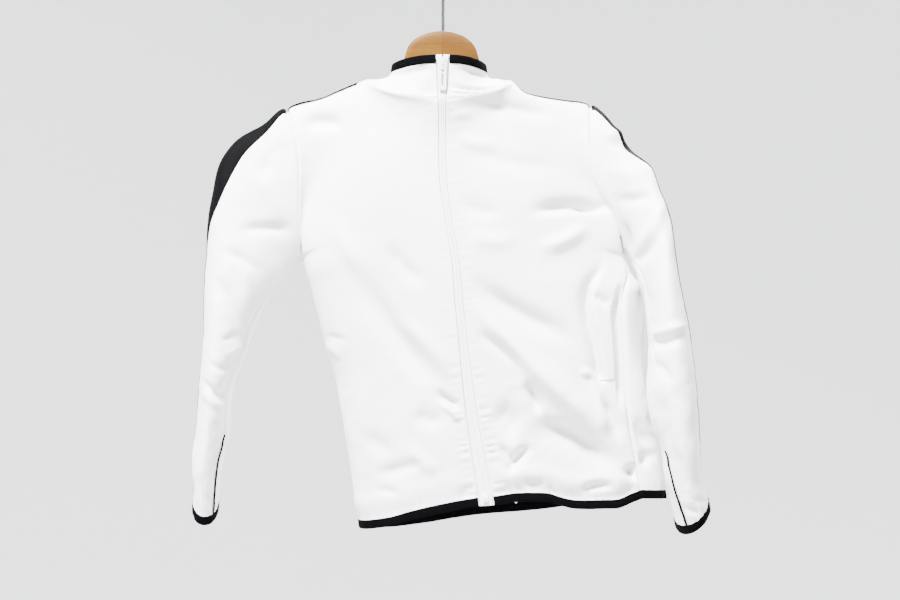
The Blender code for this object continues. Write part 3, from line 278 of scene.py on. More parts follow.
def row_levels(side, hem):
    """Shares of the way from hem to top edge, one for each row of a panel's grid."""
    split = (ARMPIT[side] - hem) / (SHOULDER[side][-1][2] - hem)
    below = [split * j / ROWS_BELOW for j in range(ROWS_BELOW)]
    return below + [split + (1 - split) * share for share in armhole_shares()]


def top_edge(side, column):
    """Front top edge: the neckline up to the neck point, then the shoulder seam."""
    _, neck_x, neck_z = SHOULDER[side][0]
    if column > NECK_COLUMNS:
        share = (column - NECK_COLUMNS) / SHOULDER_COLUMNS
        return table_value(SHOULDER[side], 1, share), 0.0, table_value(SHOULDER[side], 2, share)
    turn = math.pi / 2 * column / NECK_COLUMNS
    start = zip_edge(side, FRONT_NECK_Z)
    x = start + (neck_x - start) * math.sin(turn)
    return x, FRONT_NECK_Y * math.cos(turn), neck_z + (FRONT_NECK_Z - neck_z) * math.cos(turn) ** NECK_DIP


def back_top_edge(column):
    """Back top edge from the right shoulder point to the left."""
    if column < SHOULDER_COLUMNS:
        return top_edge(-1, FRONT_COLUMNS - column)
    column -= SHOULDER_COLUMNS
    if column > BACK_NECK_COLUMNS:
        return top_edge(1, NECK_COLUMNS + column - BACK_NECK_COLUMNS)
    turn = math.pi * column / BACK_NECK_COLUMNS
    share = (1 - math.cos(turn)) / 2
    x, side_z = (r + (l - r) * share for r, l in zip(SHOULDER[-1][0][1:], SHOULDER[1][0][1:]))
    return x, BACK_NECK_Y * math.sin(turn), side_z + (BACK_NECK_Z - side_z) * math.sin(turn)


def panel_point(theta, level, hem_z, top, correction_x, neck_share):
    """A panel's point at a share of the way from its hem to its top edge."""
    _, top_y, top_z = top
    z = hem_z + (top_z - hem_z) * level
    x, depth, share, facing = section(theta, z)
    x += correction_x * smooth((level - 0.7) / 0.3)
    drop = top_z - z
    down = min(max(drop / SHOULDER_ROUND, 0.0), 1.0)
    shoulder = math.sqrt(1 - (1 - down) ** 2)
    rounding = neck_share * smooth(drop / NECK_ROUND) + (1 - neck_share) * shoulder
    return x, top_y + (-facing * depth * share - top_y) * rounding, z


def front_grid(side):
    """Grid of points, a column for each station from the zip to the side, rows from hem up."""
    grid = np.zeros((FRONT_COLUMNS + 1, LAST_ROW + 1, 3))
    levels = row_levels(side, FRONT_HEM[side][-1][1])
    for i in range(FRONT_COLUMNS + 1):
        share = (i / FRONT_COLUMNS) ** 0.9
        top = top_edge(side, i)
        hem_z = table_value(FRONT_HEM[side], 1, share)
        start = zip_theta(side, top[2])
        top_theta = start + (seam_theta(side, top[2]) - start) * share
        correction = top[0] - section(top_theta, top[2])[0]
        for j, level in enumerate(levels):
            z = hem_z + (top[2] - hem_z) * level
            start = zip_theta(side, z)
            theta = start + (seam_theta(side, z) - start) * share
            grid[i, j] = panel_point(theta, level, hem_z, top, correction, max(0.0, 1 - i / NECK_COLUMNS))
            if i == 0:
                grid[i, j, 0] = zip_edge(side, z)
    open_armhole(grid[:, ROWS_BELOW:], -1.0)
    return grid


def back_grid():
    grid = np.zeros((BACK_COLUMNS + 1, LAST_ROW + 1, 3))
    ends = list(zip(row_levels(-1, BACK_HEM[0][1]), row_levels(1, BACK_HEM[-1][1])))
    half_neck = BACK_NECK_COLUMNS / 2
    for i in range(BACK_COLUMNS + 1):
        share = i / BACK_COLUMNS
        top = back_top_edge(i)
        hem_z = table_value(BACK_HEM, 1, share)
        neck_share = 1 - min(abs(i - SHOULDER_COLUMNS - half_neck), half_neck) / half_neck
        correction = top[0] - section(180.0 + 180.0 * share, top[2])[0]
        for j, (right, left) in enumerate(ends):
            level = right + (left - right) * share
            z = hem_z + (top[2] - hem_z) * level
            start = seam_theta(-1, z)
            theta = start + (seam_theta(1, z) + 360.0 - start) * share
            grid[i, j] = panel_point(theta, level, hem_z, top, correction, neck_share)
    open_armhole(grid[:, ROWS_BELOW:], 1.0)
    open_armhole(grid[::-1, ROWS_BELOW:], 1.0)
    return grid


def open_armhole(rows, direction):
    """Moves the armhole edge, the last column here, off the other panel's, and fades inwards."""
    last = rows.shape[0] - 1
    for j, share in enumerate(armhole_shares()):
        gap = ARMHOLE_DEPTH * math.sqrt(max(0.0, 1 - (2 * share - 1) ** 2))
        for i in range(last - SHOULDER_COLUMNS, last + 1):
            fade = 1 - (last - i) / SHOULDER_COLUMNS
            y = max(direction * rows[i, j, 1], 0.0) * (1 - fade ** 2 * 0.5)
            rows[i, j, 1] = direction * y + direction * gap * fade ** 2


def armhole_ring(front, back_edge):
    """Points round an armhole in the order of a sleeve's ring, from the grids' edges."""
    ends = [(front[at] + back_edge[at]) / 2 for at in (-1, 0)]
    return np.array([ends[0], *front[-2:0:-1], ends[1], *back_edge[1:-1]])


def sleeve_ring(row):
    outer_x, outer_z, inner_x, inner_z, y, depth, drop, twist = row
    centre = np.array([(outer_x + inner_x) / 2, y, (outer_z + inner_z) / 2])
    outward = np.array([(outer_x - inner_x) / 2, 0.0, (outer_z - inner_z) / 2])
    forward = np.array([0.0, -depth, -drop])
    turns = [math.radians(360.0 * i / RING + twist) for i in range(RING)]
    return np.array([centre + outward * math.cos(turn) + forward * math.sin(turn) for turn in turns])


def sleeve_grid(side, front, back_edge):
    """Rings of a sleeve from the armhole to the cuff."""
    start = armhole_ring(front, back_edge)
    start[:, 0] += side * SEAM
    rings = [start] + [sleeve_ring(row) for row in SLEEVE[side]]
    for k, kept in ((1, 0.65), (2, 0.35), (3, 0.15)):
        moved = start + rings[k].mean(axis=0) - start.mean(axis=0)
        rings[k] = rings[k] * (1 - kept) + moved * kept
    return np.array(rings).transpose(1, 0, 2)


def collar_grid(fronts, back):
    """Collar from the neckline up, a column for each station from zip to zip."""
    right, left = (fronts[side][: NECK_COLUMNS + 1, -1] for side in (-1, 1))
    middle = back[SHOULDER_COLUMNS + 1 : SHOULDER_COLUMNS + BACK_NECK_COLUMNS, -1]
    base = np.vstack([right, middle, left[::-1]])
    count = len(base)
    part = np.arange(COLLAR_ROWS + 1)[:, None] / COLLAR_ROWS
    flare = np.sin(math.pi / 2 * part)
    rise = part + (1 - np.cos(math.pi / 2 * part) - part) * 0.6
    grid = np.zeros((count, COLLAR_ROWS + 1, 3))
    for i in range(count):
        side = 1 if i >= NECK_COLUMNS + BACK_NECK_COLUMNS else -1
        turn = math.pi / 2 * (i if side < 0 else count - 1 - i) / NECK_COLUMNS
        if NECK_COLUMNS < i < NECK_COLUMNS + BACK_NECK_COLUMNS:
            turn = math.pi / 2 + math.pi * (i - NECK_COLUMNS) / BACK_NECK_COLUMNS
        start = zip_edge(side, COLLAR_TOP_Z) if math.cos(turn) >= 0 else COLLAR_TOP_X
        x = start + (COLLAR_TOP_X + side * COLLAR_TOP_HALF_WIDTH - start) * math.sin(turn)
        depth = COLLAR_TOP_FRONT if math.cos(turn) > 0 else COLLAR_TOP_BACK
        top = (x, -depth * math.cos(turn), COLLAR_TOP_Z - COLLAR_SIDE_DROP * math.sin(turn) ** 2)
        grid[i] = base[i] + (np.array(top) - base[i]) * np.hstack([flare, flare, rise])
    return grid


# Fine surfaces over those grids


def weights(count, at, closed):
    """Indices and shares of the four grid lines round each station, for a smooth curve."""
    at = np.asarray(at, float)
    low = np.floor(at).astype(int)
    if not closed:
        low = np.clip(low, 0, count - 2)
    t = at - low
    index = low[:, None] + np.arange(-1, 3)
    index = index % count if closed else index + 1
    share = np.stack([
        -0.5 * t + t ** 2 - 0.5 * t ** 3,
        1 - 2.5 * t ** 2 + 1.5 * t ** 3,
        0.5 * t + 2 * t ** 2 - 1.5 * t ** 3,
        -0.5 * t ** 2 + 0.5 * t ** 3,
    ], axis=1)
    return index, share


def resample(grid, across, along, closed=False):
    """Points of a smooth surface through a grid, at stations of its two axes."""
    def extended(lines):
        return np.concatenate([2 * lines[:1] - lines[1:2], lines, 2 * lines[-1:] - lines[-2:-1]])

    count_i, count_j = grid.shape[:2]
    if not closed:
        grid = extended(grid)
    grid = extended(grid.swapaxes(0, 1)).swapaxes(0, 1)
    i, share_i = weights(count_i, across, closed)
    j, share_j = weights(count_j, along, False)
    rows = np.einsum("ak,akjc->ajc", share_i, grid[i])
    return np.einsum("bk,abkc->abc", share_j, rows[:, j])


def on_line(at, run, values):
    """Values of a line's points at lengths along it."""
    return np.stack([np.interp(at, run, values[..., c]) for c in range(3)], axis=-1)


def lengths(points, axis=0):
    """Length along a grid's axis, or a line, up to each point."""
    steps = np.linalg.norm(np.diff(points, axis=axis), axis=-1)
    start = np.zeros_like(np.take(steps, [0], axis=axis))
    return np.concatenate([start, np.cumsum(steps, axis=axis)], axis=axis)


def even_stations(grid, axis, cell, ends=None, closed=False):
    """Stations along one axis, a cell apart in millimetres and closer at both ends."""
    fine = np.linspace(*(ends or (0.0, grid.shape[axis] - 1.0)), 500)
    other = np.linspace(0, grid.shape[1 - axis] - 1.0, 9)
    lines = resample(grid, fine, other, closed) if axis == 0 else resample(grid, other, fine, closed)
    run = lengths(lines, axis).mean(axis=1 - axis)
    total = run[-1]
    wanted = np.linspace(0, total, max(3, round(total / cell)) + 1)
    near = [EDGE_STEP, EDGE_STEP * 2.6]
    wanted = np.concatenate([[0.0], near, wanted[1:-1], [total - near[1], total - near[0]], [total]])
    return np.interp(np.sort(wanted), run, fine)


def surface_normals(points):
    return unit(np.cross(np.gradient(points, axis=0), np.gradient(points, axis=1)))


class Panel:
    """A cloth panel: its middle surface on an even grid, and the directions out of it."""

    def __init__(self, grid, cell, inside=None, ends=None, edge=None):
        """A sleeve's piece lies on closed rings, between the stations in ends."""
        closed = ends is not None
        self.across = even_stations(grid, 0, cell, ends, closed)
        self.along = even_stations(grid, 1, cell)
        self.points = resample(grid, self.across, self.along, closed)
        if edge is not None:
            near = smooth(1 - self.along / 1.6)[None, :, None]
            wanted = np.array([edge(a) for a in self.across])[:, None]
            self.points = self.points + (wanted - self.points[:, :1]) * near
        if closed:
            inside = resample(grid, np.arange(grid.shape[0]), self.along, True).mean(axis=0)[None]
        normals = surface_normals(self.points)
        self.sign = 1.0 if np.sum(normals * (self.points - np.array(inside))) > 0 else -1.0
        self.rest = self.points.copy()
        self.normals = normals * self.sign
        self.from_start = lengths(self.points, 0)
        self.from_foot = lengths(self.points, 1)
        self.to_end = self.from_start[-1:] - self.from_start
        self.to_top = self.from_foot[:, -1:] - self.from_foot

    def move(self, shift):
        self.points = self.points + shift
        self.normals = surface_normals(self.points) * self.sign

    def push(self, amount):
        """Moves the surface out by an amount in millimetres at each point."""
        self.move(self.normals * amount[..., None])

    def at(self, across, along):
        """Points and directions at stations of the coarse grid."""
        i, j = np.broadcast_arrays(*(
            np.interp(wanted, stations, np.arange(len(stations)))
            for wanted, stations in ((across, self.across), (along, self.along))))
        i0 = np.minimum(np.floor(i).astype(int), len(self.across) - 2)
        j0 = np.minimum(np.floor(j).astype(int), len(self.along) - 2)
        s, t = (i - i0)[..., None], (j - j0)[..., None]
        found = []
        for values in (self.points, self.normals):
            low = values[i0, j0] * (1 - s) + values[i0 + 1, j0] * s
            high = values[i0, j0 + 1] * (1 - s) + values[i0 + 1, j0 + 1] * s
            found.append(low * (1 - t) + high * t)
        return found[0], unit(found[1])


def uneven(run, pitch, seed):
    """A wave from -1 to 1 whose pitch and height wander."""
    turn = 2 * math.pi * run / pitch
    drift = 1.4 * np.sin(turn / 3.7 + seed) + 0.9 * np.sin(turn / 6.3 + 2.1 * seed)
    height = 0.62 + 0.38 * np.sin(turn / 4.9 + 3.3 * seed)
    return np.sin(turn + drift + seed) * height


def hump(run, middle, width):
    """1 at the middle, falling to nothing at about two widths from it."""
    return np.exp(-((run - middle) / width) ** 2)


def crumple(points, scale, seed):
    """Soft uneven hills, from -1 to 1, of about a scale in millimetres."""
    flat = points.reshape(-1, 3) / scale + seed
    values = [noise.noise(Vector(p)) for p in flat]
    return np.array(values).reshape(points.shape[:-1])


def creases(x, z, table):
    """Sum of straight troughs (depth above 0) and ridges that fade to their ends."""
    total = np.zeros_like(x)
    for x1, z1, x2, z2, *widths, depth in table:
        length = math.hypot(x2 - x1, z2 - z1)
        along = ((x - x1) * (x2 - x1) + (z - z1) * (z2 - z1)) / length
        aside = ((x - x1) * (z2 - z1) - (z - z1) * (x2 - x1)) / length
        aside = aside + widths[0] * 0.3 * np.sin(along / length * 5.0 + x1)
        width = np.where(aside > 0, widths[0], widths[-1])
        end = smooth(along / (0.4 * length)) * smooth((length - along) / (0.4 * length))
        total += depth * min(1.0, length / FULL_LENGTH) * end * hump(aside, 0, width)
    return total


# Materials


class Number:
    """A number in a material's node tree, which can be written in sums and products."""

    def __init__(self, finish, socket):
        self.finish = finish
        self.socket = socket

    def combined(self, operation, *values):
        return self.finish.node("Math", {"operation": operation}, *values)

    def __add__(self, other):
        return self.combined("ADD", self, other)

    def __radd__(self, other):
        return self.combined("ADD", other, self)

    def __sub__(self, other):
        return self.combined("SUBTRACT", self, other)

    def __rsub__(self, other):
        return self.combined("SUBTRACT", other, self)

    def __mul__(self, other):
        return self.combined("MULTIPLY", self, other)

    def __rmul__(self, other):
        return self.combined("MULTIPLY", other, self)

    def __truediv__(self, other):
        return self.combined("DIVIDE", self, other)

    def __rtruediv__(self, other):
        return self.combined("DIVIDE", other, self)

    def sine(self):
        return self.combined("SINE", self)

    def size(self):
        return self.combined("ABSOLUTE", self)

    def part(self):
        return self.combined("FRACT", self)

    def waves(self, pitch):
        """From 0 to 1 and back at a pitch, on a smooth curve."""
        return (self * (2 * math.pi / pitch)).sine() * 0.5 + 0.5

    def zigzag(self):
        """From 1 to 0 and back at each whole number, on straight lines."""
        return (self.part() - 0.5).size() * 2.0


class Finish:
    """A material put together from nodes, with its shader's constants set on its sockets."""

    def __init__(self, name, colour, roughness, **constants):
        self.material = bpy.data.materials.new(name)
        self.material.use_nodes = True
        self.tree = self.material.node_tree
        self.shader = self.tree.nodes["Principled BSDF"]
        self.shader.inputs["Base Color"].default_value = (*colour, 1.0)
        self.shader.inputs["Roughness"].default_value = roughness
        for socket, value in constants.items():
            self.shader.inputs[socket.replace("_", " ")].default_value = value

    def node(self, kind, settings=None, *inputs, output=0, **named):
        """A node of a type with its settings, then values or links for its sockets."""
        made = self.tree.nodes.new("ShaderNode" + kind)
        for key, value in (settings or {}).items():
            setattr(made, key, value)
        for key, value in [*enumerate(inputs), *named.items()]:
            socket = made.inputs[key.replace("_", " ") if isinstance(key, str) else key]
            if isinstance(value, Number):
                self.tree.links.new(value.socket, socket)
            elif value is not None:
                socket.default_value = value
        return Number(self, made.outputs[output])

    def place(self, scale=(1.0, 1.0, 1.0), turn=0.0, uv=True):
        """Cloth's own map in metres, or the object's coordinates, scaled and turned."""
        if uv:
            source = self.node("UVMap", {"uv_map": "cloth"})
        else:
            source = self.node("TexCoord", output="Object")
        return self.node("Mapping", {}, source, None, (0.0, 0.0, turn), scale)

    def split(self, vector):
        made = self.node("SeparateXYZ", {}, vector)
        outputs = made.socket.node.outputs
        return [Number(self, outputs[i]) for i in range(3)]

    def hills(self, vector, scale, detail=3.0, rough=0.5):
        return self.node("TexNoise", {}, vector, None, scale, detail, rough)

    def ramp(self, factor, low, high):
        return self.node("MapRange", {"interpolation_type": "SMOOTHSTEP"}, factor, low, high, 0.0, 1.0)

    def blend(self, factor, one, other):
        """Colour between two colours."""
        made = self.node("Mix", {"data_type": "RGBA"}, factor)
        sockets = made.socket.node.inputs
        for socket, value in ((sockets[6], one), (sockets[7], other)):
            if isinstance(value, Number):
                self.tree.links.new(value.socket, socket)
            else:
                socket.default_value = (*value, 1.0)
        return Number(self, made.socket.node.outputs[2])

    def give(self, socket, value):
        self.tree.links.new(value.socket, self.shader.inputs[socket])

    def raise_surface(self, height, distance, strength=1.0):
        """Bump from a height, in metres at its top."""
        bump = self.node("Bump", {}, strength, distance)
        self.tree.links.new(height.socket, bump.socket.node.inputs["Height"])
        self.give("Normal", bump)


def weave_height(finish, across, up, pitch):
    """Threads that go over and under one another, at a pitch in metres."""
    turn = 2 * math.pi / pitch
    return (across * turn).sine() * (up * turn).sine()


def white_cloth():
    """Plain-woven white polyester with a slight sheen and faint crumples."""
    finish = Finish("white_cloth", (0.78, 0.785, 0.79), 0.5, Sheen_Weight=0.15, Sheen_Roughness=0.45,
                    Specular_IOR_Level=0.4)
    place = finish.place()
    across, up, _ = finish.split(place)
    weave = weave_height(finish, across, up, 0.0009)
    slub = finish.hills(finish.place((900.0, 60.0, 1.0)), 1.0, 2.0)
    small = finish.hills(place, 55.0, 4.0, 0.55)
    patch = finish.hills(place, 14.0, 2.0)
    tone = finish.blend(finish.ramp(patch, 0.35, 0.7), (0.765, 0.77, 0.775), (0.8, 0.8, 0.805))
    finish.give("Base Color", finish.blend(finish.ramp(weave * 0.5 + 0.5, 0.1, 0.9) * 0.12, tone,
                                           (0.65, 0.655, 0.66)))
    finish.give("Roughness", 0.44 + slub * 0.1 + patch * 0.06)
    finish.raise_surface(weave * 0.08 + slub * 0.06 + small * 0.9, 0.0012, 0.45)
    return finish.material


def rib_binding():
    """Black elastic binding: fine cross ribs, matt, with a painted highlight on the ridges and lighter random
    fuzz.
    """
    finish = Finish("rib_binding", (0.001, 0.001, 0.0014), 0.8, Specular_IOR_Level=0.01)
    place = finish.place()
    across, up, _ = finish.split(place)
    rib = across.waves(0.0011)
    cross = up.waves(0.0016)
    fuzz = finish.hills(place, 900.0, 2.0)
    # painted highlight: the rib ridges are coloured lighter, mixed with random lighter fuzz
    light = rib * 0.5 + fuzz * 0.5
    finish.give("Base Color", finish.blend(light, (0.0004, 0.0004, 0.0006), (0.0018, 0.0019, 0.0024)))
    finish.give("Roughness", 0.66 + fuzz * 0.2)
    finish.raise_surface(rib * 0.6 + cross * 0.25 + fuzz * 0.2, 0.0003, 0.8)
    return finish.material


def band_cloth():
    """Smooth black tape with a fine twill and a slight sheen."""
    finish = Finish("band_cloth", (0.001, 0.001, 0.0014), 0.6, Specular_IOR_Level=0.02)
    place = finish.place(turn=math.radians(45))
    across, up, _ = finish.split(place)
    twill = across.waves(0.0009)
    fuzz = finish.hills(place, 700.0, 2.0)
    finish.give("Base Color", finish.blend(twill * 0.6 + fuzz * 0.4, (0.0004, 0.0004, 0.0006),
                                           (0.0018, 0.0019, 0.0024)))
    finish.give("Roughness", 0.54 + fuzz * 0.16)
    finish.raise_surface(twill * 0.5 + fuzz * 0.3, 0.0003, 0.7)
    return finish.material


def zip_cloth():
    """White zip tape in a herringbone weave."""
    finish = Finish("zip_cloth", (0.86, 0.865, 0.88), 0.6, Sheen_Weight=0.15, Sheen_Roughness=0.5)
    place = finish.place()
    across, up, _ = finish.split(place)
    lean = (across / 0.003).zigzag()
    twill = (up / 0.0011 + lean).zigzag()
    fuzz = finish.hills(place, 600.0, 2.0)
    finish.give("Base Color", finish.blend(twill * 0.35 + fuzz * 0.2, (0.88, 0.885, 0.9),
                                           (0.7, 0.71, 0.74)))
    finish.give("Roughness", 0.52 + fuzz * 0.16)
    finish.raise_surface(twill * 0.6 + fuzz * 0.3, 0.0003, 0.6)
    return finish.material


def moulded(name, colour, roughness, **constants):
    """Moulded or enamelled white, with faint orange peel and small scuffs."""
    finish = Finish(name, colour, roughness, **constants)
    place = finish.place(uv=False)
    peel = finish.hills(place, 900.0, 2.0)
    scuff = finish.ramp(finish.hills(place, 350.0, 4.0, 0.65), 0.58, 0.7)
    dark = tuple(c * 0.8 for c in colour)
    finish.give("Base Color", finish.blend(scuff * 0.35, colour, dark))
    finish.give("Roughness", roughness + scuff * 0.2 + peel * 0.05)
    finish.raise_surface(peel * 0.5 + scuff * -0.4, 0.0002, 0.4)
    return finish.material


def thread():
    """Twisted white sewing thread."""
    finish = Finish("thread", (0.84, 0.845, 0.86), 0.6, Sheen_Weight=0.2)
    place = finish.place(uv=False)
    across, _, up = finish.split(place)
    twist = (across + up).waves(0.0006)
    finish.give("Base Color", finish.blend(twist * 0.3, (0.86, 0.865, 0.88), (0.66, 0.67, 0.7)))
    finish.raise_surface(twist, 0.0001, 0.5)
    return finish.material


def beech(name, light, dark, seed):
    """Lacquered beech: long grain, short flecks and pores."""
    finish = Finish(name, light, 0.6, Specular_IOR_Level=0.12)
    grain = finish.place((6.0, 40.0, 40.0), uv=False)
    bent = finish.hills(grain, 1.6 + 0.1 * seed, 3.0)
    rings = finish.hills(finish.place((9.0, 160.0, 160.0), uv=False), 1.4, 4.0, 0.6)
    fleck = finish.hills(finish.place((120.0, 900.0, 900.0), uv=False), 1.0, 2.0)
    tone = finish.blend(finish.ramp(rings * 0.6 + bent * 0.4, 0.36, 0.64), dark, light)
    pores = finish.ramp(fleck, 0.6, 0.72)
    finish.give("Base Color", finish.blend(pores * 0.45, tone, tuple(c * 0.55 for c in dark)))
    finish.give("Roughness", 0.52 + rings * 0.12 + pores * 0.2)
    finish.raise_surface(rings * 0.3 - pores * 0.5, 0.0003, 0.35)
    return finish.material


def plated_wire():
    finish = Finish("plated_wire", (0.16, 0.16, 0.165), 0.3, Metallic=1.0)
    place = finish.place(uv=False)
    draw = finish.hills(finish.place((2500.0, 2500.0, 60.0), uv=False), 1.0, 2.0)
    dull = finish.ramp(finish.hills(place, 120.0, 4.0, 0.6), 0.5, 0.7)
    finish.give("Base Color", finish.blend(dull * 0.5, (0.18, 0.18, 0.185), (0.08, 0.08, 0.083)))
    finish.give("Roughness", 0.16 + draw * 0.1 + dull * 0.2)
    finish.raise_surface(draw, 0.0001, 0.3)
    return finish.material


def pale_wall():
    finish = Finish("pale_wall", (0.84, 0.85, 0.855), 0.95, Specular_IOR_Level=0.1)
    place = finish.place(uv=False)
    patch = finish.hills(place, 0.6, 3.0)
    finish.give("Base Color", finish.blend(patch, (0.585, 0.595, 0.61), (0.615, 0.622, 0.63)))
    return finish.material


# Making pieces


def shown(name, mesh, finish, body, replaced=(), thickness=0.0, smooth_angle=45.0):
    """A finished piece on its body: its finish, and the solids that it stands for."""
    mesh.name = name
    mesh.materials.clear()
    mesh.materials.append(finish)
    mesh.shade_smooth()
    mesh.set_sharp_from_angle(angle=math.radians(smooth_angle))
    obj = bpy.data.objects.new(name, mesh)
    bpy.context.scene.collection.objects.link(obj)
    if thickness:
        shell = obj.modifiers.new("thickness", "SOLIDIFY")
        shell.thickness = thickness * MM
        shell.offset = 0.0
    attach(obj, body)
    if replaced:
        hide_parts(*replaced)
    return obj


def mesh_of(bm, name):
    bmesh.ops.recalc_face_normals(bm, faces=bm.faces)
    mesh = bpy.data.meshes.new(name)
    bm.to_mesh(mesh)
    bm.free()
    return mesh


def sheet_mesh(points, sign, closed=False):
    """A grid of faces on these points, with a map of the cloth in metres."""
    last_i, last_j = (count - 1 for count in points.shape[:2])
    bm = bmesh.new()
    layer = bm.loops.layers.uv.new("cloth")
    bmesh.ops.create_grid(bm, x_segments=last_i, y_segments=last_j, size=0.5, calc_uvs=True)
    for vert in bm.verts:
        vert.co = points[round((vert.co.x + 0.5) * last_i), round((vert.co.y + 0.5) * last_j)] * MM
    middle_i = lengths(points, 0)[:, (last_j + 1) // 2] * MM
    middle_j = lengths(points, 1)[(last_i + 1) // 2] * MM
    for face in bm.faces:
        for loop in face.loops:
            uv = loop[layer].uv
            uv.x, uv.y = middle_i[round(uv.x * last_i)], middle_j[round(uv.y * last_j)]
    if closed:
        bmesh.ops.remove_doubles(bm, verts=bm.verts, dist=0.00001)
    if sign < 0:
        bmesh.ops.reverse_faces(bm, faces=bm.faces)
    mesh = bpy.data.meshes.new("sheet")
    bm.to_mesh(mesh)
    bm.free()
    return mesh


def closed_mesh(rings, name):
    """A tube of faces through rings, with its open ends filled."""
    sheet = sheet_mesh(rings, 1.0, closed=True)
    bm = bmesh.new()
    bm.from_mesh(sheet)
    bpy.data.meshes.remove(sheet)
    ends = [e for e in bm.edges if e.is_boundary]
    if ends:
        bmesh.ops.holes_fill(bm, edges=ends, sides=0)
    return mesh_of(bm, name)


def turned_in(panel, edges, depth=3.0):
    """The panel's points with its sewn edges turned inwards, as a seam's allowance is."""
    points, normals = panel.points, panel.normals
    for edge in edges:
        axis, at = {"start": (0, 0), "end": (0, -1), "foot": (1, 0), "top": (1, -1)}[edge]
        line, out = (np.take(values, [at], axis=axis) for values in (points, normals))
        inward = unit(np.take(points, [1 if at == 0 else -2], axis=axis) - line)
        parts = [line - out * depth + inward * 0.5, line - out * 0.7 + inward * 0.1, points]
        order = 1 if at == 0 else -1
        points, normals = (
            np.concatenate(rows[::order], axis=axis) for rows in (parts, [out, out, normals]))
    return points


def cloth_piece(name, panel, edges, replaced):
    mesh = sheet_mesh(turned_in(panel, edges), panel.sign)
    return shown(name, mesh, WHITE, "jacket", replaced, CLOTH_THICK)


def binding_piece(name, edge, fall, outward, finish, slot, replaced, closed=False, width=BINDING_WIDTH,
                  thickness=BINDING, lap=LAP):
    """A folded binding round an edge: an oval section swept along it, with small gathers."""
    run = lengths(edge)
    half = thickness / 2 * (1 + 0.12 * uneven(run, 7.0, 1.3))
    wave = 0.35 * uneven(run, 19.0, 0.4)
    rings = []
    for k in range(SECTION_POINTS + 1):
        turn = 2 * math.pi * k / SECTION_POINTS
        reach = signed_power(math.cos(turn), 0.45)
        deep = signed_power(math.sin(turn), 0.6)
        offset = np.broadcast_to((width - lap) / 2 + reach * (width + lap) / 2, len(edge))
        rings.append(edge + fall * offset[:, None] + outward * (deep * half + wave)[:, None])
    grid = np.array(rings).transpose(1, 0, 2)
    if closed:
        grid = np.concatenate([grid, grid[:1]])
    return shown(name, closed_mesh(grid, name), finish, "jacket", replaced, smooth_angle=60.0)


def beads(places, u_segments, v_segments):
    """One mesh of small round beads, each placed and stretched by a matrix."""
    total = bmesh.new()
    for start in range(0, len(places), BEADS_AT_ONCE):
        bm = bmesh.new()
        for place in places[start : start + BEADS_AT_ONCE]:
            bmesh.ops.create_uvsphere(bm, u_segments=u_segments, v_segments=v_segments, radius=1.0,
                                      matrix=place)
        some = bpy.data.meshes.new("beads")
        bm.to_mesh(some)
        bm.free()
        total.from_mesh(some)
        bpy.data.meshes.remove(some)
    mesh = bpy.data.meshes.new("beads")
    total.to_mesh(mesh)
    total.free()
    return mesh


def bead_place(spot, across, out, along, size):
    """A bead's matrix from its middle, its axes and its radii in millimetres."""
    axes = Matrix((across, out, along)).transposed().to_4x4()
    return Matrix.Translation(spot * MM) @ axes @ Matrix.Diagonal((*(r * MM for r in size), 1.0))


def stitches(name, rows, pitch=2.8, length=2.1, radius=0.22, lift=0.42):
    """Rows of small thread stitches along lines on a surface."""
    places = []
    for points, normals in rows:
        run = lengths(points)
        for at in np.arange(pitch / 2, run[-1] - pitch / 2, pitch):
            centre = on_line(at, run, points)
            along = Vector(on_line(at + 0.5, run, points) - centre).normalized()
            side = along.cross(Vector(on_line(at, run, normals)).normalized()).normalized()
            out = side.cross(along)
            places.append(bead_place(Vector(centre) + out * lift, side, out, along,
                                     (radius, radius * 0.8, length / 2)))
    return shown(name, beads(places, 6, 4), THREAD, "jacket", smooth_angle=80.0)
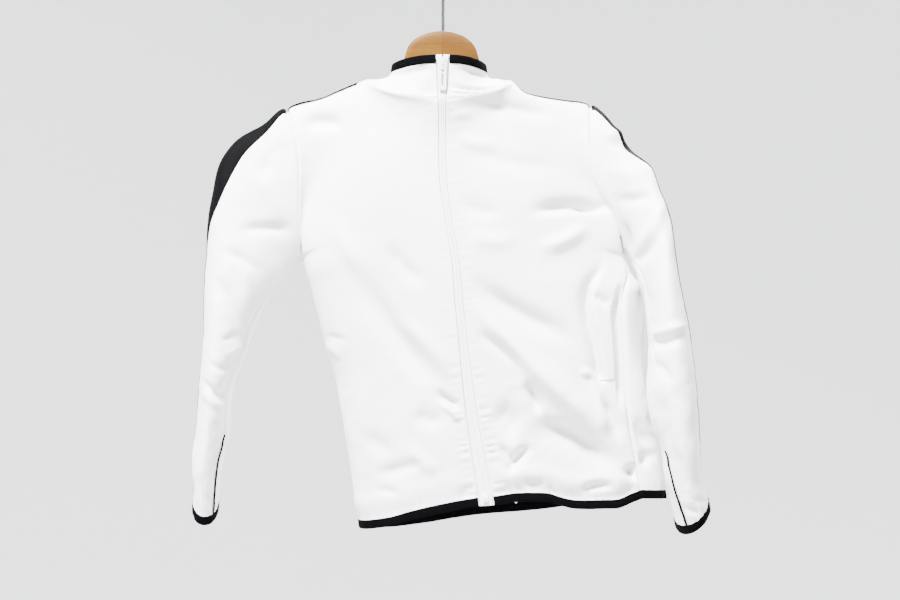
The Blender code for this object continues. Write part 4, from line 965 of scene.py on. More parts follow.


# The jacket's fine folds: front ones first, then the back's and the sleeves'.
# Each is a straight trough (depth above 0) or ridge, in the front view's own x and z.
FRONT_CREASES = (
    # x1, z1, x2, z2, width below or left, width above or right, depth
    (-117.7, -319.6, 7.7, -484.5, 13, 12, 3.4), (-132.1, -273.1, -56.8, -412.8, 10, 10, -1.4),
    (-60.4, -312.5, -21, -366.2, 9, 8, 1.8), (-56.8, -391.3, 22, -463, 9, 9, -1.6),
    (-10.2, -471.9, 25.6, -495.2, 5, 4, 3.2), (-6.6, -484.5, 25.6, -509.5, 4, 4, -2.2),
    (-28.1, -491.6, -3.1, -516.7, 10, 10, 2.2), (14.8, -592, 41.7, -572.2, 5, 5, 2.6),
    (-157.1, -187.1, -103.4, -179.9, 8, 8, 2.2), (-128.5, -412.8, -103.4, -423.6, 4, 4, 1.4),
    (-132.1, -423.6, -107, -441.5, 4, 4, -1.2), (-92.6, -520.3, -46.1, -541.8, 9, 9, 1.4),
    (-78.3, -563.3, -13.8, -552.5, 7, 7, 1.6), (-74.7, -584.8, -42.5, -581.2, 4, 4, 1.4),
    (-42.5, -534.6, 0.5, -563.3, 8, 8, -1.4), (36.3, -162, 125.9, -178.1, 9, 7, 2.6),
    (14.8, -215.7, 143.8, -237.2, 10, 9, 1.2), (86.5, -280.2, 181.5, -274.9, 6, 9, 4),
    (140.3, -271.3, 185, -278.4, 5, 6, 3.5), (97.3, -323.2, 165.3, -298.1, 8, 8, -2.4),
    (158.2, -369.8, 185, -382.4, 5, 5, 2.5), (143.8, -452.2, 172.5, -463, 4, 4, -2.6),
    (147.4, -463, 170.7, -450.4, 4, 4, 1), (194, -470.1, 215.5, -459.4, 5, 5, -2.2),
    (188.6, -452.2, 197.6, -463, 4, 4, 2.2), (14.8, -366.2, 194, -541.8, 10, 14, -5),
    (22, -348.3, 147.4, -430.7, 12, 10, 3.6), (36.3, -405.6, 93.7, -459.4, 6, 7, 2.6),
    (93.7, -502.4, 194, -554.3, 15, 8, 6.5), (91.9, -459.4, 102.6, -502.4, 5, 4, 4),
    (57.8, -531, 79.3, -552.5, 4, 4, 3.2), (97.3, -531, 65, -563.3, 5, 5, 3.8),
    (50.7, -495.2, 86.5, -516.7, 13, 13, 3), (82.9, -575.8, 111.6, -570.5, 5, 5, 3),
    (143.8, -581.2, 186.8, -574, 5, 5, 3.2), (190.4, -568.7, 233.4, -545.4, 8, 6, 6.5),
    (158.2, -463, 179.7, -523.9, 5, 5, -2.2), (168.9, -477.3, 194, -534.6, 5, 5, 2.4),
    (4.1, -172.7, 36.3, -181.7, 5, 5, -1), (7.7, -205, 65, -208.6, 7, 7, -1),
    (14.8, -269.5, 65, -287.4, 8, 8, 1.2), (22, -305.3, 86.5, -319.6, 9, 9, -1.2),
)
BACK_CREASES = (
    (216, -345, 232, -500, 13, 7, 3.2), (186, -571, 236, -541, 6, 9, 4.5),
    (196, -505, 232, -535, 9, 7, 2.6), (-120, -300, -20, -470, 11, 1.9),
    (-96, -280, 6, -430, 9, -1.5), (130, -262, 40, -380, 10, 1.8), (150, -300, 80, -430, 9, -1.4),
    (-60, -190, 60, -196, 10, 1.4), (-90, -224, 20, -246, 10, -1.2), (-20, -480, 90, -560, 10, 2.2),
    (20, -470, 130, -540, 9, -1.7), (-80, -520, -10, -590, 9, 1.8), (120, -470, 190, -560, 9, 2),
    (60, -340, 170, -440, 12, 1.9), (-130, -400, -60, -440, 8, 1.4), (150, -550, 200, -574, 6, 2),
    (-70, -586, -30, -600, 5, 1.6),
)
SLEEVE_CREASES = (
    # the wearer's right sleeve
    (-160, -206, -212, -246, 10, 1.3), (-166, -220, -196, -226, 6, -1),
    (-214, -224, -166, -306, 10, -1.2), (-226, -304, -158, -296, 6, 2.2),
    (-240, -318, -196, -350, 6, 1.6), (-252, -340, -212, -420, 7, 1.6),
    (-204, -316, -218, -404, 8, -1.2), (-214, -410, -242, -424, 4, 1.4),
    (-213, -422, -236, -440, 3.2, -1.3), (-215, -432, -236, -450, 3.2, 1.5),
    (-218, -442, -240, -462, 3.2, -1.2), (-226, -452, -256, -446, 4, 1.4),
    (-262, -462, -230, -484, 4, 1.9), (-262, -474, -232, -496, 4, -1.2),
    (-250, -500, -240, -556, 7, 1.2), (-268, -520, -262, -590, 7, -1),
    (-262, -560, -250, -604, 4, 1.2),
    # the wearer's left sleeve
    (168, -196, 216, -196, 6, -1.2), (170, -206, 222, -214, 6, 1.4),
    (172, -236, 234, -240, 9, -1.1), (184, -272, 232, -262, 6, 2), (188, -288, 204, -332, 6, 2.8),
    (238, -262, 212, -330, 6, -2.2), (232, -300, 204, -346, 5, 1.8), (206, -346, 220, -396, 5, 2.2),
    (218, -412, 262, -404, 4, -1.4), (216, -424, 256, -416, 5, 2.6), (220, -440, 246, -466, 5, 1.8),
    (250, -440, 262, -520, 9, -1.2), (226, -470, 240, -540, 7, 1.6), (236, -500, 258, -590, 7, 1.2),
    (252, -596, 278, -604, 3, 1.5), (256, -604, 276, -612, 3, -1.3),
    (262, -584, 284, -596, 3.5, 1.3),
)
SLEEVE_BACK_CREASES = (
    (-160, -250, -230, -300, 9, 1.6), (-190, -330, -246, -370, 9, -1.3),
    (-216, -420, -258, -444, 6, 2), (-222, -440, -262, -470, 6, -1.5),
    (-246, -500, -262, -580, 8, 1.4), (172, -260, 238, -300, 9, 1.8),
    (206, -350, 250, -380, 8, -1.4), (222, -420, 262, -440, 6, 2), (226, -450, 264, -470, 6, -1.5),
    (244, -510, 270, -590, 8, 1.4),
)
PUCKER_ROWS = (
    # z, height of the puckers beside the zip
    (-600, 1), (-520, 1.15), (-480, 0.8), (-430, 0.35), (-300, 0.3), (-160, 0.25),
)

CELL = 2.3                 # fine cloth grid
BEADS_AT_ONCE = 40
EDGE_STEP = 0.5
CLOTH_THICK = 0.45         # the shell fabric itself
CREASE_GAIN = 2.4          # what the depths in a table of creases are multiplied by
BACK_FOLD_GAIN = 1.2
BACK_CREASE_GAIN = 2.0
EVENING_PASSES = 90

fronts = {side: front_grid(side) for side in (-1, 1)}
back = back_grid()
INSIDE = (20.0, 0.0, -380.0)
NAMES = {-1: "right", 1: "left"}
SIDES = (-1, 1)

WHITE = white_cloth()
RIB = rib_binding()
BAND = band_cloth()
TAPE_CLOTH = zip_cloth()
THREAD = thread()
COIL = moulded("white_coil", (0.84, 0.845, 0.86), 0.4)
ENAMEL = moulded("white_enamel", (0.66, 0.66, 0.66), 0.3, Coat_Weight=0.3, Coat_Roughness=0.15)


def seam_puckers(distances, run, seed):
    """Small gathers beside a sewn edge."""
    return 0.32 * uneven(run, 8.5, seed) * hump(distances, 3.2, 3.0)


def pocket_relief(column, row):
    """Depths round the open pocket: the fold before its welt, the gap and the facing behind it."""
    fold = 10.1 - (row - 7.4) * 0.27 - column
    before = np.where(fold > 0, hump(fold, 0, 0.9), smooth(1.0 + fold / 0.9))
    before = before * smooth((row - 6.9) / 0.8) * smooth((15.0 - row) / 3.0)
    gap = hump(column, 12.22, 0.26) * smooth((row - 7.0) / 0.3) * smooth((11.9 - row) / 0.3)
    behind = smooth((column - 12.1) / 0.5) * smooth((row - 5.2) / 1.6) * smooth((13.5 - row) / 1.6)
    return before * 11.0 + gap * 5.0 + behind * 8.0


def soft_and_sharp(points, soft_scales, soft_depths, sharp_scale, seeds):
    """Wide soft hills, and narrow ridges between flat cells."""
    soft = sum(crumple(points, scale, seed) * depth
               for scale, depth, seed in zip(soft_scales, soft_depths, seeds))
    return soft, 0.45 - np.abs(crumple(points, sharp_scale, seeds[2])) * 2.2


def dress_front(side):
    """A front panel with its folds, the puckers beside the zip and the gathers at the hem."""
    panel = Panel(fronts[side], CELL, INSIDE)
    from_zip, to_side = panel.from_start, panel.to_end
    from_hem, to_top = panel.from_foot, panel.to_top
    # the chest, above the folds, is drawn even from side to side
    even = panel.points.copy()
    for _ in range(EVENING_PASSES):
        even[1:-1] = (even[:-2] + 2.0 * even[1:-1] + even[2:]) / 4.0
    share = smooth((panel.points[..., 2] + 290.0) / 90.0) * smooth(from_zip / 20.0)
    share = share * smooth(to_side / 20.0) * smooth(to_top / 10.0)
    panel.move((even - panel.points) * share[..., None])
    x, z = panel.points[..., 0], panel.points[..., 2]
    free = smooth(from_zip / 14.0) * smooth(to_side / 8.0) * smooth(to_top / 16.0)
    free = free * (0.25 + 0.75 * smooth(from_hem / 16.0))
    depth = creases(x, z, FRONT_CREASES) * CREASE_GAIN * free
    if side > 0:
        depth = depth + pocket_relief(panel.across[:, None], panel.along[None, :]) * smooth(to_side / 5.0)
    soft, sharp = soft_and_sharp(panel.points, (62.0, 26.0), (1.7, 0.6), 17.0,
                                 (4.0 + side, 9.0 + side, 2.0 + side))
    low = smooth((-380.0 - z) / 120.0)
    depth = depth - soft * free * (0.5 + 0.5 * low) - sharp * free * (0.1 + (0.4 if side > 0 else 0.2) * low)
    height = np.interp(z, *np.transpose(PUCKER_ROWS)) * (0.8 if side < 0 else 1.0)
    pucker = uneven(from_hem, 8.4, 1.0 + side) * height * hump(from_zip, 6.0, 8.0) * smooth(from_zip / 2.5)
    gather = uneven(from_zip + 0.25 * from_hem, 9.5, 2.4 + side) * (1.5 if side > 0 else 0.8)
    gather = gather * smooth(from_hem / 2.0) * hump(from_hem, 0, 15.0)
    gather = gather * smooth(from_zip / 10.0) * smooth(to_side / 12.0)
    sag = (hump(from_hem, 21.0, 10.0) - 0.5 * hump(from_hem, 4.0, 5.0)) * (3.6 if side > 0 else 1.3)
    sag = sag * smooth(from_zip / 18.0) * smooth(to_side / 16.0)
    seams = seam_puckers(to_side, from_hem, 0.7) + seam_puckers(to_top, from_zip, 2.2)
    ditch = 3.6 * hump(to_side, 0, 1.9) + 0.7 * hump(to_top, 0, 1.4)
    panel.push(-depth + pucker + gather + sag + seams - ditch)
    return panel


def dress_back():
    panel = Panel(back, CELL, INSIDE)
    x, z = panel.points[..., 0], panel.points[..., 2]
    from_side, to_side = panel.from_start, panel.to_end
    from_hem, to_top = panel.from_foot, panel.to_top
    free = smooth(from_side / 14.0) * smooth(to_side / 14.0) * smooth(to_top / 18.0)
    free = free * (0.25 + 0.75 * smooth(from_hem / 16.0))
    depth = creases(x, z, BACK_FOLDS) * BACK_FOLD_GAIN + creases(x, z, BACK_CREASES) * BACK_CREASE_GAIN
    soft, sharp = soft_and_sharp(panel.points, (66.0, 28.0), (2.6, 1.0), 18.0, (14.0, 19.0, 23.0))
    low = smooth((-380.0 - z) / 120.0)
    depth = depth * free - soft * free * (0.5 + 0.5 * low) - sharp * free * (0.15 + 0.4 * low)
    gather = uneven(from_side + 0.2 * from_hem, 10.0, 5.1) * 1.1
    gather = gather * smooth(from_hem / 2.0) * hump(from_hem, 0, 15.0)
    gather = gather * smooth(from_side / 12.0) * smooth(to_side / 12.0)
    seams = seam_puckers(from_side, from_hem, 0.7) + seam_puckers(to_side, from_hem, 1.9)
    seams = seams + seam_puckers(to_top, from_side, 2.2)
    ditch = 3.0 * (hump(from_side, 0, 1.9) + hump(to_side, 0, 1.9)) + 0.7 * hump(to_top, 0, 1.4)
    panel.push(-depth + gather + seams - ditch)
    return panel


def armhole_edge(side):
    """The armhole as the panels have it, at a station round the sleeve."""
    front = fronts[side][-1]
    back_side = back[0 if side < 0 else -1]

    def edge(station):
        station = station % RING
        line, at = front, LAST_ROW - station
        if station > ROWS_ARMHOLE:
            line, at = back_side, ROWS_BELOW + station - ROWS_ARMHOLE
        return resample(np.repeat(line[None], 3, axis=0), [1.0], [at])[0, 0]

    return edge


def dress_sleeve(side, coarse, ends, seed):
    """One piece of a sleeve between two stations round it."""
    panel = Panel(coarse, CELL, ends=ends, edge=armhole_edge(side))
    x, z = panel.points[..., 0], panel.points[..., 2]
    facing = -panel.normals[..., 1]
    around = panel.from_start
    to_seam = np.minimum(around, panel.to_end)
    from_armhole, to_cuff = panel.from_foot, panel.to_top
    free = smooth(to_seam / 7.0) * smooth(from_armhole / 14.0) * (0.3 + 0.7 * smooth(to_cuff / 14.0))
    depth = creases(x, z, SLEEVE_CREASES) * CREASE_GAIN * smooth(facing * 2.0 + 0.4)
    depth = depth + creases(x, z, SLEEVE_BACK_CREASES) * CREASE_GAIN * smooth(0.4 - facing * 2.0)
    soft, sharp = soft_and_sharp(panel.points, (46.0, 20.0), (1.7, 0.7), 14.0,
                                 (31.0 + seed, 37.0 + seed, 41.0 + seed))
    low = smooth((-330.0 - z) / 80.0)
    depth = depth * free - soft * free * (0.6 + 0.4 * low) - sharp * free * (0.1 + 0.3 * low)
    gather = uneven(around, 7.5, seed) * 0.7 * smooth(to_cuff / 2.0) * hump(to_cuff, 0, 10.0)
    seams = seam_puckers(to_seam, from_armhole, seed) + seam_puckers(from_armhole, around, seed + 1.0)
    ditch = 2.0 * hump(to_seam, 0, 1.7) + 3.6 * hump(from_armhole, 0, 1.9)
    panel.push(-depth + gather + seams - ditch)
    return panel


def dress_collar():
    panel = Panel(collar_grid(fronts, back), 1.8, (0.0, 0.0, -140.0))
    run, rise, to_top = panel.from_start, panel.from_foot, panel.to_top
    free = smooth(run / 10.0) * smooth(panel.to_end / 10.0) * smooth(rise / 7.0) * smooth(to_top / 7.0)
    soft = crumple(panel.points, 30.0, 51.0) * 1.8 + crumple(panel.points, 13.0, 57.0) * 0.5
    lean = uneven(run + rise * 0.8, 34.0, 0.6) * 1.3
    ditch = 0.7 * (hump(rise, 0, 1.4) + hump(to_top, 0, 1.4))
    dip = hump(to_top, 7.0, 4.5) * (0.8 + 0.5 * np.sin(run / 19.0)) * 1.8
    panel.push((soft + lean - dip) * free + seam_puckers(rise, run, 2.2) - ditch)
    return panel


front_panels = {side: dress_front(side) for side in SIDES}
back_panel = dress_back()
collar_panel = dress_collar()
sleeve_grids = {}
sleeve_tops = {}
sleeve_unders = {}
for side in SIDES:
    back_edge = back[0 if side < 0 else -1, ROWS_BELOW:]
    grid = sleeve_grid(side, fronts[side][-1, ROWS_BELOW:], back_edge)
    sleeve_grids[side] = grid
    sleeve_tops[side] = dress_sleeve(side, grid, (BACK_SEAM_AT - RING, FRONT_SEAM_AT), 1.0 + side)
    sleeve_unders[side] = dress_sleeve(side, grid, (FRONT_SEAM_AT, BACK_SEAM_AT), 5.0 + side)

for side in SIDES:
    name = NAMES[side]
    cloth_piece(
        f"front_panel_{name}", front_panels[side], ("start", "end", "top"), [f"front_{name}"])
    for part, panels in (("top", sleeve_tops), ("under", sleeve_unders)):
        cloth_piece(
            f"sleeve_{part}_{name}", panels[side], ("start", "end", "foot"), [f"sleeve_{name}_{part}"])
cloth_piece("back_panel", back_panel, ("start", "end", "top"), ["back"])
cloth_piece("stand_collar", collar_panel, ("start", "end", "foot"), ["collar"])


# Bindings


def edge_line(panels, row):
    """An edge's points, the direction on from it and out of the cloth, through several panels."""
    parts = []
    for panel, columns in panels:
        line = panel.rest[columns, row]
        fall = unit(line - panel.rest[columns, 3 if row == 0 else -4])
        parts.append((line, fall, panel.normals[columns, row]))
    return [np.concatenate(values) for values in zip(*parts)]


def even_line(edge, falls, outs, step, closed=False):
    """The same line with even steps and eased directions."""
    if closed:
        edge, falls, outs = (np.concatenate([a, a[:1]]) for a in (edge, falls, outs))
    run = lengths(edge)
    keep = np.concatenate([[True], np.diff(run) > 1e-6])
    at = np.linspace(0, run[-1], max(8, int(run[-1] / step)))[: -1 if closed else None]
    made = [on_line(at, run[keep], values[keep]) for values in (edge, falls, outs)]
    for k in (1, 2):
        for _ in range(3):
            eased = (np.roll(made[k], 1, axis=0) + made[k] * 2 + np.roll(made[k], -1, axis=0)) / 4
            if not closed:
                eased[[0, -1]] = made[k][[0, -1]]
            made[k] = unit(eased)
    return made


hem = even_line(*edge_line([
    (front_panels[-1], slice(None)), (back_panel, slice(None)),
    (front_panels[1], slice(None, None, -1)),
], 0), 2.2)
# the back's binding reaches up to 4 mm further up where the front's hem bares it, a black strip put there as
# painted shade in the gap behind the front's hem
hem_lap_shade_strip = LAP + 4.0 * smooth((hem[0][:, 1] - 15.0) / 25.0) * hump(hem[0][:, 0], 72.0, 46.0)
binding_piece("hem_rib", *hem, RIB, "binding", ["hem_binding"], lap=hem_lap_shade_strip)
for side in SIDES:
    name = NAMES[side]
    cuff = even_line(*edge_line([
        (sleeve_tops[side], slice(None)), (sleeve_unders[side], slice(None)),
    ], -1), 1.8, closed=True)
    binding_piece(
        f"cuff_rib_{name}", *cuff, RIB, "binding", [f"cuff_binding_{name}"], closed=True)
collar_edge, collar_fall, collar_out = even_line(*edge_line([(collar_panel, slice(None))], -1), 1.6)
collar_rise = unit(collar_fall * 0.2 + np.array([0.0, 0.0, 0.8]))
collar_out = unit(collar_out * (1.0, 1.0, 0.0))
binding_piece(
    "collar_rib", collar_edge, collar_rise, collar_out, RIB, "binding", ["collar_binding"])


# Strips that are sewn on the panels


def strip_piece(name, panel, across, along, finish, replaced, lift=0.75, thickness=0.5):
    """A strip over part of a panel: its points moved out, its long edges turned down."""
    u, v = np.meshgrid(across, along, indexing="ij")
    points, normals = panel.at(u, v)
    drop = np.zeros(len(across))
    drop[0] = drop[-1] = lift * 0.7
    points = points + normals * (lift - drop)[:, None, None]
    mesh = sheet_mesh(points, panel.sign)
    return shown(name, mesh, finish, "jacket", replaced, thickness)


for side in SIDES:
    name = NAMES[side]
    top = sleeve_tops[side]
    around = np.concatenate([[-1.0, -0.97], np.linspace(-0.92, 0.92, 14), [0.97, 1.0]])
    along = np.linspace(0.35, top.along[-1], 214)
    strip_piece(
        f"arm_band_{name}", top, around, along, BAND, [f"sleeve_band_{name}"])
    rows = np.linspace(top.along[-1] - PIPING_ROWS + 1, top.along[-1], 60)
    _, seam_out = top.at(FRONT_SEAM_AT, rows)
    before, seam, after = resample(
        sleeve_grids[side], [FRONT_SEAM_AT + shift for shift in (-0.05, 0, 0.05)], rows, closed=True)
    around_dir = unit(after - before)
    binding_piece(
        f"arm_piping_{name}", seam + seam_out * 0.5 - around_dir * 1.3, around_dir, seam_out,
        BAND, "band", [f"forearm_piping_{name}"], width=2.6, thickness=1.5, lap=0.0)
    # a tape on the back, from the neck point to the sleeve band
    ends = (0.05, SHOULDER_COLUMNS - 1.0)
    if side > 0:
        ends = [BACK_COLUMNS - end for end in ends[::-1]]
    rows = np.linspace(LAST_ROW - SHOULDER_BAND_ROWS, LAST_ROW - 0.02, 20)
    strip_piece(
        f"shoulder_tape_{name}", back_panel, np.linspace(*ends, 70), rows, BAND,
        [f"shoulder_band_{name}"])
    # its edge laps over the shoulder seam
    columns = np.linspace(NECK_COLUMNS + 0.75, FRONT_COLUMNS - 0.05, 70)
    rows = LAST_ROW - np.array([0.5, 0.46, 0.25, 0.04, 0.0]) * (1.0 if side < 0 else 0.6)
    strip_piece(
        f"shoulder_lap_{name}", front_panels[side], columns, rows, BAND, [], lift=1.3)


def edged(low, high, count):
    """Stations from low to high, with a close one beside each end."""
    return np.concatenate([[low, low + 0.02], np.linspace(low + 0.1, high - 0.1, count), [high - 0.02, high]])


stitch_lines = []
for side in SIDES:
    name = NAMES[side]
    panel = front_panels[side]
    low, high = WELT_ROWS[side][0], WELT_ROWS[side][-1]
    across = edged(WELT_ACROSS[side][0], WELT_ACROSS[side][-1], 12)
    strip_piece(
        f"pocket_flap_{name}", panel, across, edged(low, high, 44), WHITE,
        [f"pocket_welt_{name}"], lift=1.1)
    bar = np.linspace(across[1], across[-2], 8)
    for end in (low + 0.12, high - 0.12):
        stitch_lines.append((*panel.at(bar, end), 1.0))
    stitch_lines.append((*panel.at(across[2], np.linspace(low + 0.1, high - 0.1, 40)), 1.0))


# Zip


def zip_side(side):
    """The edge beside the zip from the hem binding's foot to the collar binding's top."""
    panel = front_panels[side]
    column = 0 if side < 0 else -1
    low = panel.rest[0]
    high = collar_panel.rest[column]
    foot = low[0] + unit(low[0] - low[3]) * BINDING_WIDTH
    top = high[-1] + collar_rise[column] * BINDING_WIDTH
    return np.vstack([foot[None], low, high[1:], top[None]])


def even_path(points, step):
    run = lengths(points)
    return on_line(np.linspace(0, run[-1], int(run[-1] / step)), run, points)


ZIP_STEP = 1.6
TOOTH_PITCH = 1.3
right_edge, left_edge = (even_path(zip_side(side), ZIP_STEP) for side in SIDES)
count = min(len(right_edge), len(left_edge))
right_edge, left_edge = (
    on_line(np.linspace(0, 1, count), np.linspace(0, 1, len(edge)), edge) for edge in (right_edge, left_edge))
zip_across = unit(left_edge - right_edge)
zip_middle = (left_edge + right_edge) / 2
zip_along = unit(np.gradient(zip_middle, axis=0))
zip_out = unit(np.cross(zip_across, zip_along))
if zip_out[:, 1].mean() > 0:
    zip_out = -zip_out
for _ in range(12):
    zip_out[1:-1] = unit(zip_out[:-2] + zip_out[1:-1] * 2 + zip_out[2:])
zip_run = lengths(zip_middle)
half_gap = np.where(zip_middle[:, 2] > ZIP_OPEN_Z, ZIP_OPEN_HALF_GAP, 0.3)
TAPE_PROFILE = (
    # share of the way from the middle to the edge, height out of the tape's plane
    (0, -2.6), (0, -1.2), (0.05, -0.55), (0.14, -0.3), (0.26, -0.5), (0.33, -1.7), (0.42, -1),
    (0.6, -0.85), (0.76, -0.95), (0.82, -3.2), (1.05, -3.4), (1.25, -2.6),
)
for side, edge in ((-1, right_edge), (1, left_edge)):
    name = NAMES[side]
    inner = zip_middle + side * zip_across * half_gap[:, None]
    ripple = 0.12 * uneven(zip_run, 8.4, 1.0 + side)
    lines = [
        inner + (edge - inner) * part + zip_out * (height + ripple * part)[:, None]
        for part, height in TAPE_PROFILE
    ]
    shown(
        f"zip_tape_piece_{name}", sheet_mesh(np.array(lines), -side), TAPE_CLOTH, "jacket",
        [f"zip_tape_{name}"], 0.35)
    for part in (0.42, 0.72):    # two rows of stitches down each tape
        stitch_lines.append((inner + (edge - inner) * part - zip_out * 0.75, zip_out, 0.8))


def zip_teeth(name, side, replaced):
    """A coil's turns behind the tape, each a small stretched bead."""
    places = []
    for at in np.arange(4.0, zip_run[-1] - 26.0, TOOTH_PITCH):
        k = min(int(np.searchsorted(zip_run, at)), count - 1)
        across, along, out = (Vector(line[k]) for line in (zip_across, zip_along, zip_out))
        across = across * side
        spot = Vector(on_line(at, zip_run, zip_middle)) + across * 1.2 - out * 1.5
        places.append(bead_place(spot, across, out, along, (1.45, 0.75, 0.42)))
    return shown(name, beads(places, 6, 5), COIL, "jacket", replaced, smooth_angle=80.0)


for side in SIDES:
    zip_teeth(f"coil_turns_{NAMES[side]}", side, [f"zip_coil_{NAMES[side]}"])


def frame_at(z):
    """Axes on the zip at a height: X across, Z up, -Y out of the cloth."""
    k = int(np.argmin(abs(zip_middle[:, 2] - z)))
    up = Vector(zip_middle[min(k + 6, count - 1)] - zip_middle[max(k - 12, 0)]).normalized()
    out = Vector(zip_out[k])
    out = (out - up * out.dot(up)).normalized()
    side = up.cross(out).normalized()
    if side.x < 0:
        side = -side
    point = Vector(on_line(z, zip_middle[:, 2], zip_middle))
    return Matrix.Translation(point * MM) @ Matrix((side, -out, up)).transposed().to_4x4()


def rounded_block(bm, low, high, place, radius):
    """A block with rounded edges between two corners, in a place's own axes."""
    made = bmesh.ops.create_cube(bm, size=1.0)["verts"]
    size = [(b - a) * MM for a, b in zip(low, high)]
    centre = Vector([(a + b) / 2 * MM for a, b in zip(low, high)])
    bmesh.ops.transform(bm, matrix=Matrix.Translation(centre) @ Matrix.Diagonal((*size, 1.0)), verts=made)
    edges = list({e for v in made for e in v.link_edges})
    rounded = bmesh.ops.bevel(bm, geom=edges, offset=radius * MM, segments=3, profile=0.5,
                              affect="EDGES", material=-1)
    verts = list({v for f in rounded["faces"] for v in f.verts} | {v for v in made if v.is_valid})
    bmesh.ops.transform(bm, matrix=place, verts=verts)


def block_piece(name, blocks, place, finish, replaced):
    bm = bmesh.new()
    for low, high, radius in blocks:
        rounded_block(bm, low, high, place, radius)
    shown(name, mesh_of(bm, name), finish, "jacket", replaced, smooth_angle=50.0)


HINGE = Vector(frame["joints"][0]["pos_m"])
HINGE_AXIS = Vector(frame["joints"][0]["axis"])


def slider_place():
    """The slider's own axes, from the tab's hinge: X across, Z up the zip, -Y outwards."""
    side = -HINGE_AXIS.normalized()
    if side.x < 0:
        side = -side
    up = frame_at(SLIDER_Z).to_3x3().col[2]
    up = (up - side * up.dot(side)).normalized()
    out = up.cross(side).normalized()
    if out.y < 0:
        out = -out
    return Matrix.Translation(HINGE) @ Matrix((side, out, up)).transposed().to_4x4()


SLIDER_BLOCKS = (
    # low corner, high corner, rounding: front plate and its ridge, the loop's bar and feet,
    # rear plate, the post between the plates
    ((-4.4, 1.05, -2.2), (4.4, 2.1, 12.2), 0.5),
    ((-2.1, 0.3, 3.6), (2.1, 1.5, 11.6), 0.45),
    ((-1.1, -2, -2.6), (1.1, -1.2, 2.6), 0.35),
    ((-1.1, -2, -2.6), (1.1, 1.6, -1.4), 0.35),
    ((-1.1, -2, 1.4), (1.1, 1.6, 2.6), 0.35),
    ((-4.4, 5.3, -2.2), (4.4, 6.5, 12.2), 0.5),
    ((-0.7, 1.4, 8), (0.7, 6, 11.8), 0.2),
)
BOTTOM_BLOCKS = (((-3, -1.8, -5), (3, -0.6, 4), 0.4), ((-2.2, -2.05, -3.6), (2.2, -1.4, 2.6), 0.25))
place = slider_place()
block_piece("slider_body", SLIDER_BLOCKS, place, ENAMEL, ["zip_slider"])


def rounded_outline(low_x, low_y, high_x, high_y, radius, steps):
    points = []
    corners = ((high_x, high_y, 0), (low_x, high_y, 90), (low_x, low_y, 180), (high_x, low_y, 270))
    for x, y, start in corners:
        cx = x - math.copysign(radius, x - (low_x + high_x) / 2)
        cy = y - math.copysign(radius, y - (low_y + high_y) / 2)
        for k in range(steps + 1):
            turn = math.radians(start + 90.0 * k / steps)
            points.append((cx + radius * math.cos(turn), cy + radius * math.sin(turn)))
    return points


def flat_plate(name, outlines, thickness, rounding):
    """A plate with holes, its edges rounded, in its own plane."""
    curve = bpy.data.curves.new(name, "CURVE")
    curve.dimensions = "2D"
    curve.fill_mode = "BOTH"
    curve.extrude = (thickness / 2 - rounding) * MM
    curve.bevel_depth = rounding * MM
    curve.bevel_resolution = 3
    for outline in outlines:
        spline = curve.splines.new("POLY")
        spline.points.add(len(outline) - 1)
        for point, (x, y) in zip(spline.points, outline):
            point.co = (x * MM, y * MM, 0.0, 1.0)
        spline.use_cyclic_u = True
    helper = bpy.data.objects.new(name, curve)
    bpy.context.scene.collection.objects.link(helper)
    bpy.context.view_layer.update()
    mesh = bpy.data.meshes.new_from_object(helper.evaluated_get(bpy.context.evaluated_depsgraph_get()))
    bpy.data.objects.remove(helper)
    bpy.data.curves.remove(curve)
    return mesh


TAB_TOP = TAB_BAR / 2
eye_foot = -TAB_BAR / 2 - TAB_EYE_HEIGHT
slot_top = eye_foot - 2.4
inset = 0.3
tab_mesh = flat_plate("tab", (
    rounded_outline(-TAB_WIDTH / 2 + inset, TAB_TOP - TAB_LENGTH + inset, TAB_WIDTH / 2 - inset,
                    TAB_TOP - inset, 1.1, 8),
    rounded_outline(-TAB_EYE_WIDTH / 2 - 0.1, eye_foot - inset, TAB_EYE_WIDTH / 2 + 0.1,
                    -TAB_BAR / 2 + inset, 0.5, 5),
    rounded_outline(-TAB_SLOT_WIDTH / 2 - inset, slot_top - TAB_SLOT_LENGTH - inset,
                    TAB_SLOT_WIDTH / 2 + inset, slot_top + inset, 1.1, 8),
), TAB_THICKNESS, inset)
tab_mesh.transform(place @ Matrix.Rotation(math.radians(90), 4, "X"))
shown("pull_tab_plate", tab_mesh, ENAMEL, "pull_tab", ["zip_pull_tab"], smooth_angle=50.0)

block_piece("bottom_stop", BOTTOM_BLOCKS, frame_at(float(zip_middle[4, 2]) + 3.0), COIL,
            ["zip_bottom_box"])


# Stitching that shows


def offset_rows(panel, distance, edge):
    """A line on a panel at a distance in millimetres from its start or its foot."""
    runs, points, normals = panel.from_foot, panel.points, panel.normals
    if edge == "start":
        runs, points, normals = (rows.swapaxes(0, 1) for rows in (panel.from_start, points, normals))
    points, normals = (
        np.array([on_line(distance, run, row) for run, row in zip(runs, rows)]) for rows in (points, normals))
    return points, unit(normals)


seam_rows = []
for side in SIDES:
    panel = front_panels[side]
    for distance in (1.8, 6.2):
        seam_rows.append([rows[4:-3] for rows in offset_rows(panel, distance, "start")])
    near_side = FRONT_COLUMNS - 0.25
    seam_rows.append(panel.at(near_side, np.linspace(3.0, WELT_ROWS[side][0] - 0.3, 40)))
    seam_rows.append(panel.at(np.linspace(FRONT_COLUMNS - 1.7, near_side, 14), 3.0))
seam_rows.append(offset_rows(collar_panel, 1.6, "foot"))
stitches("seam_stitching", seam_rows)
stitches("strip_stitching", [(p + n * lift, n) for p, n, lift in stitch_lines], radius=0.18, lift=0.3)


# Hanger


def squarish(wave):
    return np.sign(wave) * np.abs(wave) ** 0.5


